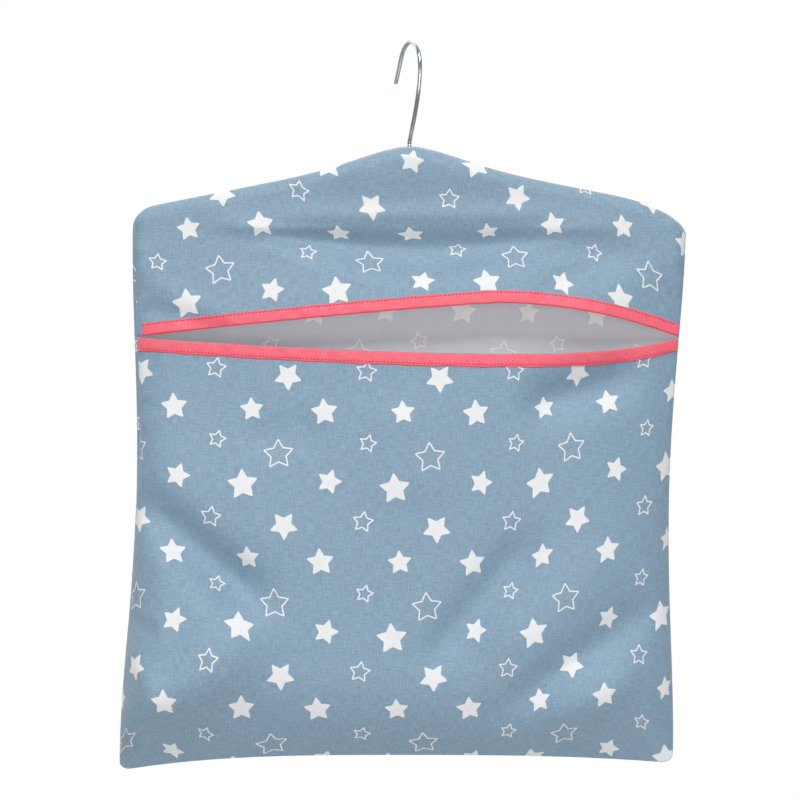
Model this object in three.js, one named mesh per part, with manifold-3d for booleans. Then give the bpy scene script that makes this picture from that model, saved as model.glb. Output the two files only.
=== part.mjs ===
// Peg bag: a sewn cloth pouch that hangs from a small wooden coat hanger with a swivelling wire hook.
// Millimetres, +Z up. The front of the bag faces -Y and its width runs along X. The origin is the
// underside of the hook's crown, where the hook sits on a washing line or a rail.

import * as THREE from "three";
import { mergeVertices } from "three/addons/utils/BufferGeometryUtils.js";
import Module from "manifold-3d";

const wasm = await Module();
wasm.setup();

// Driving dimensions: clearances
const SEAT_GAP = 0.3; // between pieces that touch on the real bag
const SWIVEL_GAP = 0.35; // around the hook's shank, in the bar and in the washer

// Driving dimensions: hook
const WIRE = 3; // diameter of the plated steel wire
const CROOK_INSIDE = 36; // inside width of the crook
const HOOK_HEIGHT = 70; // from the origin down to the peak of the bag
const HOOK_TURN = 69; // degrees that the hook is swivelled out of the bag's plane
const CROOK_SWEEP = 147; // degrees of the arc, from the spine over the crown
const CROOK_TAIL = 17; // straight stretch from the end of the arc to the tip
const NECK_LIFT = 3; // straight stretch of the shank above the stop collar
const NECK_BEND = 4; // how soon the shank bends away from its axis
const SPINE_BEND = 22; // how long the spine takes to straighten below the crook
const COLLAR = 5.4; // diameter of the upset stop collar
const COLLAR_HEIGHT = 1.4;
const RIVET_HEAD = 6.4; // diameter of the peened head under the washer
const RIVET_HEIGHT = 2.2;
const WASHER = 8.6;
const WASHER_THICKNESS = 1;

// Driving dimensions: hanger bar
const BAR_END_ROOM = 24; // from each end of the bar to the side of the bag
const BAR_THICKNESS = 14;
const BAR_ROUNDING = 6; // radius of the bar's long edges
const ARM_HEIGHT = 26;
const NECK_HEIGHT = 45; // height of the bar at the hook
const NECK_WIDTH = 55; // how far the taller neck spreads along the arms
const TIP_LENGTH = 16; // the rounded stretch at each end
const BORE_DEPTH = 24; // from the top of the neck down to the counterbore
const COUNTERBORE = 10.4;

// Driving dimensions: outline of the bag
const SHOULDER_WIDTH = 376;
const BAG_HEIGHT = 413; // from the peak to the middle of the hem
const SHOULDER_SLOPE = 0.2; // fall of the shoulders for each millimetre across
const PEAK_RADIUS = 20; // softens the ridge at the hook
const HUMP = 8.5; // extra rise at the neck
const HUMP_WIDTH = 45;
const LEFT_CORNER = { across: 15, down: 12 };
const RIGHT_CORNER = { across: 48, down: 18 };
const SHOULDER_DROP = 55; // from the peak down to where the sides begin to draw in
const WAIST = 7; // how far each side draws in between the shoulders and the hem
const HEM_DRIFT = 9; // how far the hem hangs out of line, towards -X
const LEFT_EAR = 10.5; // how far the lower corners hang below the middle of the hem
const RIGHT_EAR = 5.5;
const HEM_CORNER = { across: 8, down: 6 };

// Driving dimensions: mouth
const MOUTH_DROP = 129; // from the peak down to the ends of the mouth
const MOUTH_GAP = 1.2; // between the two lips at the side seams
const LIP_APEX = 0.33; // where the mouth is widest, as a share of the half width
const UPPER_ARCH = 22; // how far the upper lip rises at the apex
const UPPER_CURVE = { left: 1.2, right: 1.9 }; // how full the arch is on either side of the apex
const LOWER_SAG = 11.5; // how far the lower lip sags at the apex
const LOWER_CURVE = { left: 1.6, right: 3 };

// Driving dimensions: cloth, tape and thread
const CLOTH = 0.7;
const TAPE = 0.6; // thickness of the binding tape
const TAPE_WIDTH = 8.8; // visible width of the folded tape
const TAPE_END = 2.5; // from the end of the tape to the side of the bag
const THREAD = 0.6;
const STITCH_INSET = 1.6; // from the tape's edge to its row of stitches
const HOOK_SLOT = 28; // length of the gap in the shoulder seam that the hook comes out of
const SLOT_SPREAD = 0.42; // share of that length over which the gap stands open
const SLOT_HEM = 1.9; // from the edge of the gap down to its stitches

// Driving dimensions: how the cloth stands out from the seam plane
const TOP_ROUND = 10; // the cloth turns over the top of the bar in this distance
const LEFT_ROUND = 30;
const RIGHT_ROUND = 84;
const HEM_ROUND = 60;
const TUCK = 8; // how far the yoke falls back under the bar
const TUCK_RUN = 13; // height of that fall
const TUCK_FLOOR = 16; // at its deepest the cloth hangs level this far before it comes forward again
const TUCK_MIDDLE = 0.08; // the deepest place, as a share of the half width
const TUCK_SPREAD = 0.6; // the level part shrinks to nothing this share to either side
const RISE_SHARE = 0.8; // it is fully forward this share of the way to the lip
const TUCK_LEFT = { from: -0.68, to: -0.3 }; // the fold fades out between these shares of the half width
const TUCK_RIGHT = { from: 0.78, to: 0.4 };
const UPPER_LIP_BOW = 24;
const LOWER_LIP_BOW = 31;
const LIP_END_BOW = 0.3; // share of the bow that is left beside the side seams
const BOW_CURVE = { left: 1.6, right: 2 };
const POCKET_BELLY = 30;
const BACK_BELLY = 8;

// Driving dimensions: main folds of the pocket. Each runs from one place to another, given as a share of
// the half width and a share of the way from the mouth down to the hem. Hollows have a negative height.
const POCKET_FOLDS = [
  { from: { u: -0.95, down: 0.35 }, to: { u: -0.52, down: 0.65 }, width: 15, height: -9 },
  { from: { u: -1.04, down: 0.84 }, to: { u: -0.53, down: 0.71 }, width: 25, height: 11 },
  { from: { u: 0.44, down: 0.41 }, to: { u: 0.04, down: 0.74 }, width: 14, height: -7 },
  { from: { u: 0.69, down: 0.48 }, to: { u: 0.31, down: 0.72 }, width: 19, height: 6 },
  { from: { u: 0.89, down: 0.6 }, to: { u: 0.28, down: 0.87 }, width: 12, height: -7 },
  { from: { u: 0.82, down: 0.76 }, to: { u: 0.48, down: 0.9 }, width: 13, height: 7 },
  { from: { u: 0.47, down: 0.19 }, to: { u: 0.83, down: 0.06 }, width: 14, height: -5 },
];
const FOLD_TAPER = { before: -0.15, after: 0.25 }; // each end of a fold fades in between these shares

// Derived levels and half sizes
const PEAK_Z = -HOOK_HEIGHT;
const HEM_Z = PEAK_Z - BAG_HEIGHT;
const SHOULDER_Z = PEAK_Z - SHOULDER_DROP;
const MOUTH_Z = PEAK_Z - MOUTH_DROP;
const HALF_WIDTH = SHOULDER_WIDTH / 2;
const BAR_REACH = HALF_WIDTH - BAR_END_ROOM; // half the length of the bar
const SEAM_HALF = THREAD / 2 + SEAT_GAP; // each panel's edge stops this far from the seam plane
const TOP_CLEAR = CLOTH + 3 * SEAT_GAP; // the bar's top lies this far under the shoulder seam
const BAR_FACE = BAR_THICKNESS / 2 + CLOTH + 2 * SEAT_GAP; // depth of the cloth over the bar
const WIRE_RADIUS = WIRE / 2;
const CROOK_RADIUS = CROOK_INSIDE / 2 + WIRE_RADIUS;
const BAR_TOP_Z = PEAK_Z - TOP_CLEAR;
const SLOT_HALF = COLLAR / 2 + SEAT_GAP + CLOTH; // opening for the collar at the hook

// Colours and finishes
const BLUE_COTTON = new THREE.MeshStandardMaterial({ color: 0x86a0b4, roughness: 0.85, metalness: 0 });
const CORAL_TAPE = new THREE.MeshStandardMaterial({ color: 0xf9566f, roughness: 0.6, metalness: 0 });
const CORAL_THREAD = new THREE.MeshStandardMaterial({ color: 0xf4647c, roughness: 0.6, metalness: 0 });
const WHITE_THREAD = new THREE.MeshStandardMaterial({ color: 0xe6e8ea, roughness: 0.7, metalness: 0 });
const BEECH = new THREE.MeshStandardMaterial({ color: 0xd2aa78, roughness: 0.55, metalness: 0 });
const PLATED_STEEL = new THREE.MeshStandardMaterial({ color: 0xc9ced1, roughness: 0.18, metalness: 1 });

// Small helpers
const lerp = THREE.MathUtils.lerp;
const share = (from, to, x) => THREE.MathUtils.clamp((x - from) / (to - from), 0, 1);
const smoothstep = (from, to, x) => THREE.MathUtils.smoothstep(share(from, to, x), 0, 1);
const range = (count, make) => Array.from({ length: count + 1 }, (_, i) => make(i / count));
const easeIn = (t) => 1 - Math.cos((t * Math.PI) / 2);
const easeOut = (t) => Math.sin((t * Math.PI) / 2);

// A quarter ellipse: 0 at an edge, 1 once the distance from it reaches the rounding
function rolledEdge(distance, rounding) {
  const left = 1 - share(0, rounding, distance);
  return Math.sqrt(1 - left * left);
}

// How far an outline is cut back where it turns into its side: 0 until the corner begins
function cornerCut(offset, corner) {
  const along = share(HALF_WIDTH - corner.across, HALF_WIDTH, offset);
  return corner.down * (1 - Math.sqrt(1 - along * along));
}

// Fall of the shoulders below the peak, at x across
function shoulderFall(x) {
  const slope = SHOULDER_SLOPE * (Math.hypot(x, PEAK_RADIUS) - PEAK_RADIUS);
  return slope + HUMP * (1 - Math.exp(-((x / HUMP_WIDTH) ** 2)));
}

// Outline of the bag. u runs across the front from -1 at the left side seam to 1 at the right one.
function shoulderZ(u) {
  const x = u * HALF_WIDTH;
  const corner = u < 0 ? LEFT_CORNER : RIGHT_CORNER;
  return PEAK_Z - shoulderFall(x) - cornerCut(Math.abs(x), corner);
}

function hemZ(u) {
  const ear = (u < 0 ? LEFT_EAR : RIGHT_EAR) * Math.abs(u) ** 3;
  return HEM_Z - ear + cornerCut(Math.abs(u) * HALF_WIDTH, HEM_CORNER);
}

// Share of the way from the shoulders down to the hem
const downTheSide = (z) => share(SHOULDER_Z, HEM_Z, z);

function halfWidthAt(z) {
  const t = downTheSide(z);
  return HALF_WIDTH - WAIST * (4 * t * (1 - t)) ** 2;
}

function acrossAt(u, z, inset = 0) {
  return u * (halfWidthAt(z) - inset) - HEM_DRIFT * downTheSide(z);
}

// 0 at the side seams and 1 at the apex of the mouth
function mouthShape(u, curve) {
  return u < LIP_APEX
    ? 1 - ((LIP_APEX - u) / (1 + LIP_APEX)) ** curve.left
    : 1 - ((u - LIP_APEX) / (1 - LIP_APEX)) ** curve.right;
}

const lipBow = (u, bow) => bow * lerp(LIP_END_BOW, 1, mouthShape(u, BOW_CURVE));
const upperLipZ = (u) => MOUTH_Z + UPPER_ARCH * mouthShape(u, UPPER_CURVE);
const lowerLipZ = (u) => MOUTH_Z - MOUTH_GAP - LOWER_SAG * mouthShape(u, LOWER_CURVE);

// The panels stop at the middle of the tape's fold
const FOLD_OUTSIDE = CLOTH / 2 + SEAT_GAP + TAPE;
const yokeEndZ = (u) => upperLipZ(u) + FOLD_OUTSIDE;
const pocketTopZ = (u) => lowerLipZ(u) - FOLD_OUTSIDE;

// Height of the bar below its own top edge
function barHeight(x) {
  return ARM_HEIGHT + (NECK_HEIGHT - ARM_HEIGHT) * Math.exp(-((x / NECK_WIDTH) ** 2));
}

// How far below the shoulder seam the yoke falls back under the bar, and where it comes forward again.
// That second line sags in the middle as a parabola.
const tuckStart = (u) => barHeight(u * HALF_WIDTH) + TOP_CLEAR + 2 * SEAT_GAP;
const tuckSag = (u) => Math.max(0, 1 - ((u - TUCK_MIDDLE) / TUCK_SPREAD) ** 2);
const riseStart = (u) => tuckStart(u) + TUCK_RUN + TUCK_FLOOR * tuckSag(u);

// Depth of the cloth in front of or behind the seam plane. Near the bar it turns sharply over the
// tips, and lower down it rolls gently into the side seams.
function sideRoll(u, z) {
  const fromSide = (1 - Math.abs(u)) * HALF_WIDTH;
  const soft = u < 0 ? LEFT_ROUND : RIGHT_ROUND;
  const barEnd = shoulderZ(u) - ARM_HEIGHT;
  const rounding = lerp(TOP_ROUND, soft, smoothstep(barEnd, barEnd - 2 * ARM_HEIGHT, z));
  return rolledEdge(fromSide, rounding);
}

function yokeDepth(u, z) {
  const down = shoulderZ(u) - z;
  const full = shoulderZ(u) - upperLipZ(u);
  const fade = smoothstep(TUCK_LEFT.from, TUCK_LEFT.to, u) * smoothstep(TUCK_RIGHT.from, TUCK_RIGHT.to, u);
  const fall = TUCK * fade * smoothstep(tuckStart(u), tuckStart(u) + TUCK_RUN, down);
  const rise = easeOut(share(riseStart(u), lerp(riseStart(u), full, RISE_SHARE), down));
  const lip = lipBow(u, UPPER_LIP_BOW);
  const flat = BAR_FACE - fall + (lip - BAR_FACE + TUCK * fade) * rise;
  return flat * rolledEdge(down, TOP_ROUND) * sideRoll(u, z);
}

// Height of a fold at x, z: a bell-shaped section along a straight line that fades out at both ends
function foldHeight(fold, x, z) {
  const [start, end] = [fold.from, fold.to].map(
    ({ u, down }) => new THREE.Vector2(u * HALF_WIDTH, lerp(MOUTH_Z, HEM_Z, down)),
  );
  const run = end.clone().sub(start);
  const place = new THREE.Vector2(x, z).sub(start);
  const ahead = place.dot(run) / run.lengthSq();
  const aside = place.cross(run) / run.length();
  const { before, after } = FOLD_TAPER;
  const taper = smoothstep(before, after, ahead) * smoothstep(before, after, 1 - ahead);
  return fold.height * taper * Math.exp(-((aside / fold.width) ** 2));
}

function pocketDepth(u, z) {
  const down = lowerLipZ(u) - z;
  const full = lowerLipZ(u) - hemZ(u);
  const belly = lerp(lipBow(u, LOWER_LIP_BOW), POCKET_BELLY, smoothstep(0, full / 2, down));
  const folds = POCKET_FOLDS.reduce((sum, fold) => sum + foldHeight(fold, acrossAt(u, z), z), 0);
  return (belly + folds) * rolledEdge(full - down, HEM_ROUND) * sideRoll(u, z);
}

function backDepth(u, z) {
  const down = shoulderZ(u) - z;
  const barEnd = barHeight(u * HALF_WIDTH) + TOP_CLEAR;
  const belly = lerp(BAR_FACE, BACK_BELLY, smoothstep(barEnd, 3 * barEnd, down));
  return belly * rolledEdge(down, TOP_ROUND) * rolledEdge(z - hemZ(u), HEM_ROUND) * sideRoll(u, z);
}

// The two panels part at the peak to let the hook through, and close again towards the slot's ends
function slotOpening(u, z) {
  const alongSlot = (u * HALF_WIDTH) / (SLOT_SPREAD * HOOK_SLOT);
  const down = (shoulderZ(u) - z) / TOP_ROUND;
  return (SLOT_HALF - SEAM_HALF) * Math.exp(-(alongSlot ** 4) - down);
}

const frontY = (depth) => (u, z) => -SEAM_HALF - slotOpening(u, z) - depth(u, z);
const yokeY = frontY(yokeDepth);
const pocketY = frontY(pocketDepth);
const backY = (u, z) => SEAM_HALF + slotOpening(u, z) + backDepth(u, z);

// Solid helpers
function welded(geometry) {
  geometry.deleteAttribute("normal");
  geometry.deleteAttribute("uv");
  return mergeVertices(geometry, 1e-4);
}

function solidOf(geometry) {
  const closed = welded(geometry);
  const vertProperties = new Float32Array(closed.attributes.position.array);
  const triVerts = new Uint32Array(closed.index.array);
  return new wasm.Manifold(new wasm.Mesh({ numProp: 3, vertProperties, triVerts }));
}

function geometryOf(solid) {
  const { vertProperties, triVerts } = solid.getMesh();
  const geometry = new THREE.BufferGeometry();
  geometry.setAttribute("position", new THREE.BufferAttribute(vertProperties, 3));
  geometry.setIndex(new THREE.BufferAttribute(triVerts, 1));
  return geometry;
}

// A sheet of real thickness: a flat slab of columns by rows, with each corner moved to where
// place(column, row, front) puts it. front is true on the side that faces -Y.
function bentSheet(columns, rows, place) {
  const slab = new THREE.BoxGeometry(1, 1, 1, columns - 1, rows - 1, 1);
  const corners = slab.attributes.position;
  for (let i = 0; i < corners.count; i++) {
    const column = Math.round((corners.getX(i) + 0.5) * (columns - 1));
    const row = Math.round((0.5 - corners.getY(i)) * (rows - 1));
    corners.setXYZ(i, ...place(column, row, corners.getZ(i) > 0));
  }
  return welded(slab);
}

// Row heights down a panel as functions of u: each zone runs between two levels in a number of steps
function rowsThrough(zones) {
  return zones.flatMap(({ from, to, steps, ease = (t) => t }, zone) =>
    range(steps, (t) => (u) => lerp(from(u), to(u), ease(t))).slice(zone === 0 ? 0 : 1),
  );
}

// Columns lie closer together towards the side seams, where the cloth turns
const COLUMNS = range(36, (t) => easeOut(2 * t - 1));

// A cloth panel between its rows. Its inner face keeps the same form, drawn in by the cloth's
// thickness, and both faces end in the seam plane where an edge is sewn. topInset and bottomInset
// are 1 where that edge is sewn and 0 where it is a lip of the mouth.
function clothPanel(rows, surfaceY, outerIsFront, topInset, bottomInset) {
  return bentSheet(COLUMNS.length, rows.length, (column, row, front) => {
    const u = COLUMNS[column];
    const outer = front === outerIsFront;
    const top = rows[0](u);
    const bottom = rows[rows.length - 1](u);
    const z = rows[row](u);
    const drawnIn = outer ? 0 : CLOTH;
    const atZ = z - drawnIn * lerp(topInset, -bottomInset, share(top, bottom, z));
    const sewn = Math.abs(u) === 1 || (row === 0 && topInset) || (row === rows.length - 1 && bottomInset);
    const inward = outerIsFront ? drawnIn : -drawnIn;
    return [acrossAt(u, z, drawnIn), surfaceY(u, z) + (sewn ? 0 : inward), atZ];
  });
}

function backPanel() {
  const rows = rowsThrough([
    { from: shoulderZ, to: (u) => shoulderZ(u) - TOP_ROUND, steps: 5, ease: easeIn },
    { from: (u) => shoulderZ(u) - TOP_ROUND, to: (u) => hemZ(u) + HEM_ROUND, steps: 12 },
    { from: (u) => hemZ(u) + HEM_ROUND, to: hemZ, steps: 5, ease: easeOut },
  ]);
  return clothPanel(rows, backY, false, 1, 1);
}

function frontYoke() {
  const tuckZ = (u) => shoulderZ(u) - tuckStart(u);
  const riseZ = (u) => shoulderZ(u) - riseStart(u);
  const tapeZ = (u) => upperLipZ(u) + TAPE_WIDTH;
  const rows = rowsThrough([
    { from: shoulderZ, to: (u) => shoulderZ(u) - TOP_ROUND, steps: 5, ease: easeIn },
    { from: (u) => shoulderZ(u) - TOP_ROUND, to: tuckZ, steps: 2 },
    { from: tuckZ, to: riseZ, steps: 5 },
    { from: riseZ, to: tapeZ, steps: 4 },
    { from: tapeZ, to: yokeEndZ, steps: 1 },
  ]);
  return clothPanel(rows, yokeY, true, 1, 0);
}

function pocketFront() {
  const tapeZ = (u) => lowerLipZ(u) - TAPE_WIDTH;
  const rows = rowsThrough([
    { from: pocketTopZ, to: tapeZ, steps: 1 },
    { from: tapeZ, to: (u) => hemZ(u) + HEM_ROUND, steps: 18 },
    { from: (u) => hemZ(u) + HEM_ROUND, to: hemZ, steps: 7, ease: easeOut },
  ]);
  return clothPanel(rows, pocketY, true, 0, 1);
}

// Binding tape folded over a lip: down the front, round the edge and up the inside. away is 1 where
// the tape covers the cloth above the lip and -1 where it covers the cloth below it.
const TAPE_REACH = 1 - TAPE_END / HALF_WIDTH;
const UNDER_TAPE = COLUMNS.filter((u) => Math.abs(u) < TAPE_REACH - TAPE / HALF_WIDTH);
const TAPE_COLUMNS = [-TAPE_REACH, ...UNDER_TAPE, TAPE_REACH];
const FOLD_ANGLES = range(4, (t) => t * Math.PI);

function foldedTape(lipZ, surfaceY, away) {
  const rows = [null, ...FOLD_ANGLES, null];
  return bentSheet(TAPE_COLUMNS.length, rows.length, (column, row, outer) => {
    const u = TAPE_COLUMNS[column];
    const radius = outer ? FOLD_OUTSIDE : FOLD_OUTSIDE - TAPE;
    const along = away > 0 ? row : rows.length - 1 - row;
    const angle = rows[along] ?? (along === 0 ? 0 : Math.PI);
    const fromLip = rows[along] === null ? TAPE_WIDTH : FOLD_OUTSIDE - radius * Math.sin(angle);
    const z = lipZ(u) + away * fromLip;
    const clothZ = lipZ(u) + away * Math.max(fromLip, FOLD_OUTSIDE);
    const inset = CLOTH / 2 - radius * Math.cos(angle);
    return [acrossAt(u, z, inset), surfaceY(u, clothZ) + inset, z];
  });
}

// Thread laid through a list of points
function threadThrough(points) {
  const section = new THREE.Shape(range(5, (t) => t * 2 * Math.PI).map(
    (angle) => new THREE.Vector2(Math.cos(angle), Math.sin(angle)).multiplyScalar(THREAD / 2),
  ).slice(0, -1));
  const extrudePath = new THREE.CatmullRomCurve3(points.map((p) => new THREE.Vector3(...p)));
  return new THREE.ExtrudeGeometry(section, { steps: points.length - 1, extrudePath });
}

// A row of stitches on the outer face of a folded tape
function tapeStitching(lipZ, surfaceY, away) {
  const stand = 2 * SEAT_GAP + TAPE + THREAD / 2;
  return threadThrough(TAPE_COLUMNS.slice(3, -3).map((u) => {
    const z = lipZ(u) + away * (TAPE_WIDTH - STITCH_INSET);
    return [acrossAt(u, z, -stand), surfaceY(u, z) - stand, z];
  }));
}

// The hemmed edge of the slot beside the hook, front or back
function slotStitching(surfaceY) {
  const side = Math.sign(surfaceY(0, MOUTH_Z));
  const reach = HOOK_SLOT / SHOULDER_WIDTH;
  return threadThrough(range(8, (t) => lerp(-reach, reach, t)).map((u) => {
    const z = shoulderZ(u) - SLOT_HEM;
    return [acrossAt(u, z), surfaceY(u, z) + side * (SEAT_GAP + THREAD), z];
  }));
}

// Seam threads lie in the seam plane, between the edges of the front and back panels
const SEAM_MIDDLE = CLOTH / 2;

function shoulderSeam(side) {
  const from = HOOK_SLOT / SHOULDER_WIDTH + 2 * THREAD / HALF_WIDTH;
  return threadThrough(range(16, (t) => side * lerp(from, 1, easeOut(t))).map((u) => {
    const z = shoulderZ(u);
    return [acrossAt(u, z, SEAM_MIDDLE), 0, z - SEAM_MIDDLE];
  }));
}

function sideSeam(side) {
  const from = shoulderZ(side) - SEAM_MIDDLE - 3 * THREAD;
  const to = hemZ(side) + SEAM_MIDDLE + 3 * THREAD;
  return threadThrough(range(16, (t) => lerp(from, to, t)).map(
    (z) => [acrossAt(side, z, SEAM_MIDDLE), 0, z],
  ));
}

function hemSeam() {
  return threadThrough(range(24, (t) => easeOut(2 * t - 1)).map((u) => {
    const z = hemZ(u);
    return [acrossAt(u, z, SEAM_MIDDLE), 0, z + SEAM_MIDDLE];
  }));
}

// Wooden hanger bar: an arched outline with round tips, cut from a plank and rounded along its edges,
// with a bore for the hook and a counterbore from below for its washer and peened head. Both tips fall
// as far as the lower corner of the shoulders.
function barEdges(x) {
  const round = rolledEdge(BAR_REACH - Math.abs(x), TIP_LENGTH);
  const tipFall = Math.max(...[LEFT_CORNER, RIGHT_CORNER].map((corner) => cornerCut(Math.abs(x), corner)));
  const top = BAR_TOP_Z - shoulderFall(x) - tipFall;
  const middle = top - barHeight(x) / 2;
  return { upper: middle + (round * barHeight(x)) / 2, lower: middle - (round * barHeight(x)) / 2 };
}

function hangerBar() {
  const stations = range(34, (t) => easeOut(2 * t - 1) * BAR_REACH);
  const upper = stations.map((x) => new THREE.Vector2(x, barEdges(x).upper));
  const lower = stations.slice(1, -1).reverse().map((x) => new THREE.Vector2(x, barEdges(x).lower));
  const plank = new THREE.ExtrudeGeometry(new THREE.Shape([...upper, ...lower]), {
    depth: BAR_THICKNESS - 2 * BAR_ROUNDING,
    bevelThickness: BAR_ROUNDING,
    bevelSize: BAR_ROUNDING,
    bevelOffset: -BAR_ROUNDING,
    bevelSegments: 3,
  });
  plank.rotateX(Math.PI / 2);
  plank.translate(0, BAR_THICKNESS / 2 - BAR_ROUNDING, 0);
  const shoulder = BAR_TOP_Z - BORE_DEPTH;
  const bore = upright(WIRE_RADIUS + SWIVEL_GAP, shoulder - WIRE, BAR_TOP_Z + WIRE);
  const counterbore = upright(COUNTERBORE / 2, BAR_TOP_Z - 2 * NECK_HEIGHT, shoulder);
  return geometryOf(solidOf(plank).subtract(solidOf(bore)).subtract(solidOf(counterbore)));
}

// A round peg about the swivel axis
function upright(radius, from, to) {
  return new THREE.CylinderGeometry(radius, radius, to - from, 24)
    .rotateX(Math.PI / 2)
    .translate(0, 0, (from + to) / 2);
}

// The washer hangs under the counterbore's shoulder, and the peened head holds it there
const WASHER_TOP = BAR_TOP_Z - BORE_DEPTH - SEAT_GAP;
const RIVET_TOP = WASHER_TOP - WASHER_THICKNESS - SEAT_GAP;

function washer() {
  const inner = WIRE_RADIUS + SWIVEL_GAP;
  const profile = [
    [inner, WASHER_TOP - WASHER_THICKNESS],
    [WASHER / 2, WASHER_TOP - WASHER_THICKNESS],
    [WASHER / 2, WASHER_TOP],
    [inner, WASHER_TOP],
    [inner, WASHER_TOP - WASHER_THICKNESS],
  ].map(([r, z]) => new THREE.Vector2(r, z));
  return new THREE.LatheGeometry(profile, 24).rotateX(Math.PI / 2);
}

// The hook's line in its own plane: up the shank, out along the spine, over the crook and down its tail
function hookLine() {
  const crownZ = WIRE_RADIUS - CROOK_RADIUS;
  const neckZ = BAR_TOP_Z + SEAT_GAP + COLLAR_HEIGHT + NECK_LIFT;
  const at = (across, z) => new THREE.Vector3(across, 0, z);
  const line = new THREE.CurvePath();
  line.add(new THREE.LineCurve3(at(0, RIVET_TOP - RIVET_HEIGHT / 2), at(0, neckZ)));
  line.add(new THREE.CubicBezierCurve3(
    at(0, neckZ),
    at(0, neckZ + NECK_BEND),
    at(CROOK_RADIUS, crownZ - SPINE_BEND),
    at(CROOK_RADIUS, crownZ),
  ));
  const sweep = THREE.MathUtils.degToRad(CROOK_SWEEP);
  const crook = range(24, (t) => t * sweep).map(
    (angle) => at(CROOK_RADIUS * Math.cos(angle), crownZ + CROOK_RADIUS * Math.sin(angle)),
  );
  line.add(new THREE.CatmullRomCurve3(crook));
  const arcEnd = crook[crook.length - 1];
  const tail = at(-Math.sin(sweep), Math.cos(sweep)).multiplyScalar(CROOK_TAIL);
  line.add(new THREE.LineCurve3(arcEnd, arcEnd.clone().add(tail)));
  return line;
}

function hook() {
  const line = hookLine();
  const section = new THREE.Shape().absarc(0, 0, WIRE_RADIUS, 0, 2 * Math.PI);
  const wire = new THREE.ExtrudeGeometry(section, { steps: 60, curveSegments: 6, extrudePath: line });
  const tip = line.getPoint(1);
  const roundTip = new THREE.SphereGeometry(WIRE_RADIUS, 12, 8).translate(tip.x, tip.y, tip.z);
  const collarZ = BAR_TOP_Z + SEAT_GAP;
  const collar = upright(COLLAR / 2, collarZ, collarZ + COLLAR_HEIGHT);
  const dome = range(4, (t) => new THREE.Vector2(
    (RIVET_HEAD / 2) * Math.sin((t * Math.PI) / 2),
    RIVET_TOP - RIVET_HEIGHT * Math.cos((t * Math.PI) / 2),
  ));
  const head = new THREE.LatheGeometry([...dome, new THREE.Vector2(0, RIVET_TOP)], 24).rotateX(Math.PI / 2);
  return geometryOf(solidOf(wire).add(solidOf(roundTip)).add(solidOf(collar)).add(solidOf(head)));
}

// Assembly
function piece(name, geometry, material) {
  const mesh = new THREE.Mesh(geometry, material);
  mesh.name = name;
  return mesh;
}

const swivel = new THREE.Group();
swivel.rotation.z = -THREE.MathUtils.degToRad(HOOK_TURN);
swivel.add(piece("hook", hook(), PLATED_STEEL));

const pegBag = new THREE.Group();
pegBag.add(
  swivel,
  piece("hook_washer", washer(), PLATED_STEEL),
  piece("hanger_bar", hangerBar(), BEECH),
  piece("back_panel", backPanel(), BLUE_COTTON),
  piece("front_yoke", frontYoke(), BLUE_COTTON),
  piece("pocket_front", pocketFront(), BLUE_COTTON),
  piece("yoke_binding", foldedTape(upperLipZ, yokeY, 1), CORAL_TAPE),
  piece("pocket_binding", foldedTape(lowerLipZ, pocketY, -1), CORAL_TAPE),
  piece("yoke_binding_stitching", tapeStitching(upperLipZ, yokeY, 1), CORAL_THREAD),
  piece("pocket_binding_stitching", tapeStitching(lowerLipZ, pocketY, -1), CORAL_THREAD),
  piece("slot_stitching_front", slotStitching(yokeY), WHITE_THREAD),
  piece("slot_stitching_back", slotStitching(backY), WHITE_THREAD),
  piece("shoulder_seam_left", shoulderSeam(-1), WHITE_THREAD),
  piece("shoulder_seam_right", shoulderSeam(1), WHITE_THREAD),
  piece("side_seam_left", sideSeam(-1), WHITE_THREAD),
  piece("side_seam_right", sideSeam(1), WHITE_THREAD),
  piece("hem_seam", hemSeam(), WHITE_THREAD),
);

export default pegBag;
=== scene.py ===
# %% [markdown]
# # A peg bag on its hanger
# The bag is a pouch of printed cotton, cut to the shape of a small wooden coat hanger and hung from its
# wire hook. The packed CAD model gives the true size and place of every piece. This lesson dresses it: each
# stiff CAD solid gets a soft surface in the same place, and each finish is a small shader.

import bpy
import numpy as np
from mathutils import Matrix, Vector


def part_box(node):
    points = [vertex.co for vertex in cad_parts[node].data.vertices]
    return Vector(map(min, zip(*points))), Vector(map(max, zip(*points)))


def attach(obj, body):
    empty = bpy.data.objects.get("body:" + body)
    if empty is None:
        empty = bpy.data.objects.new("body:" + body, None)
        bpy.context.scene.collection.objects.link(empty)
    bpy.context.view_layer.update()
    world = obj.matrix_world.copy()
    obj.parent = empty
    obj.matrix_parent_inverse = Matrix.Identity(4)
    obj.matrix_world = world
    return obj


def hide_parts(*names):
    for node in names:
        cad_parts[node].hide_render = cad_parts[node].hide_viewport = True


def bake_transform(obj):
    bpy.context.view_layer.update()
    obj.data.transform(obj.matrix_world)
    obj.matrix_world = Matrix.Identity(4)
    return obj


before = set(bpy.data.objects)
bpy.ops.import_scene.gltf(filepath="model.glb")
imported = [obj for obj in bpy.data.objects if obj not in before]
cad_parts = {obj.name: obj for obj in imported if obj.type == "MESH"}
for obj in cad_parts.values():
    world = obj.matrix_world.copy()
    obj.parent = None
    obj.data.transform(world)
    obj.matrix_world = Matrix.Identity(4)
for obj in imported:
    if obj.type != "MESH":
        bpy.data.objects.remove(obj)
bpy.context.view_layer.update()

# %% [markdown]
# ## The outline of the bag
# All the cloth shares one outline, so its sizes come first, in millimetres as on a cutting table. The width
# and the peak are read from the CAD boxes. The other sizes are nearly all those that drive the CAD model,
# because a dressed piece that follows the same formula as its solid needs little fitting.

# %% Sizes of the bag
MM = 0.001

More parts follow.
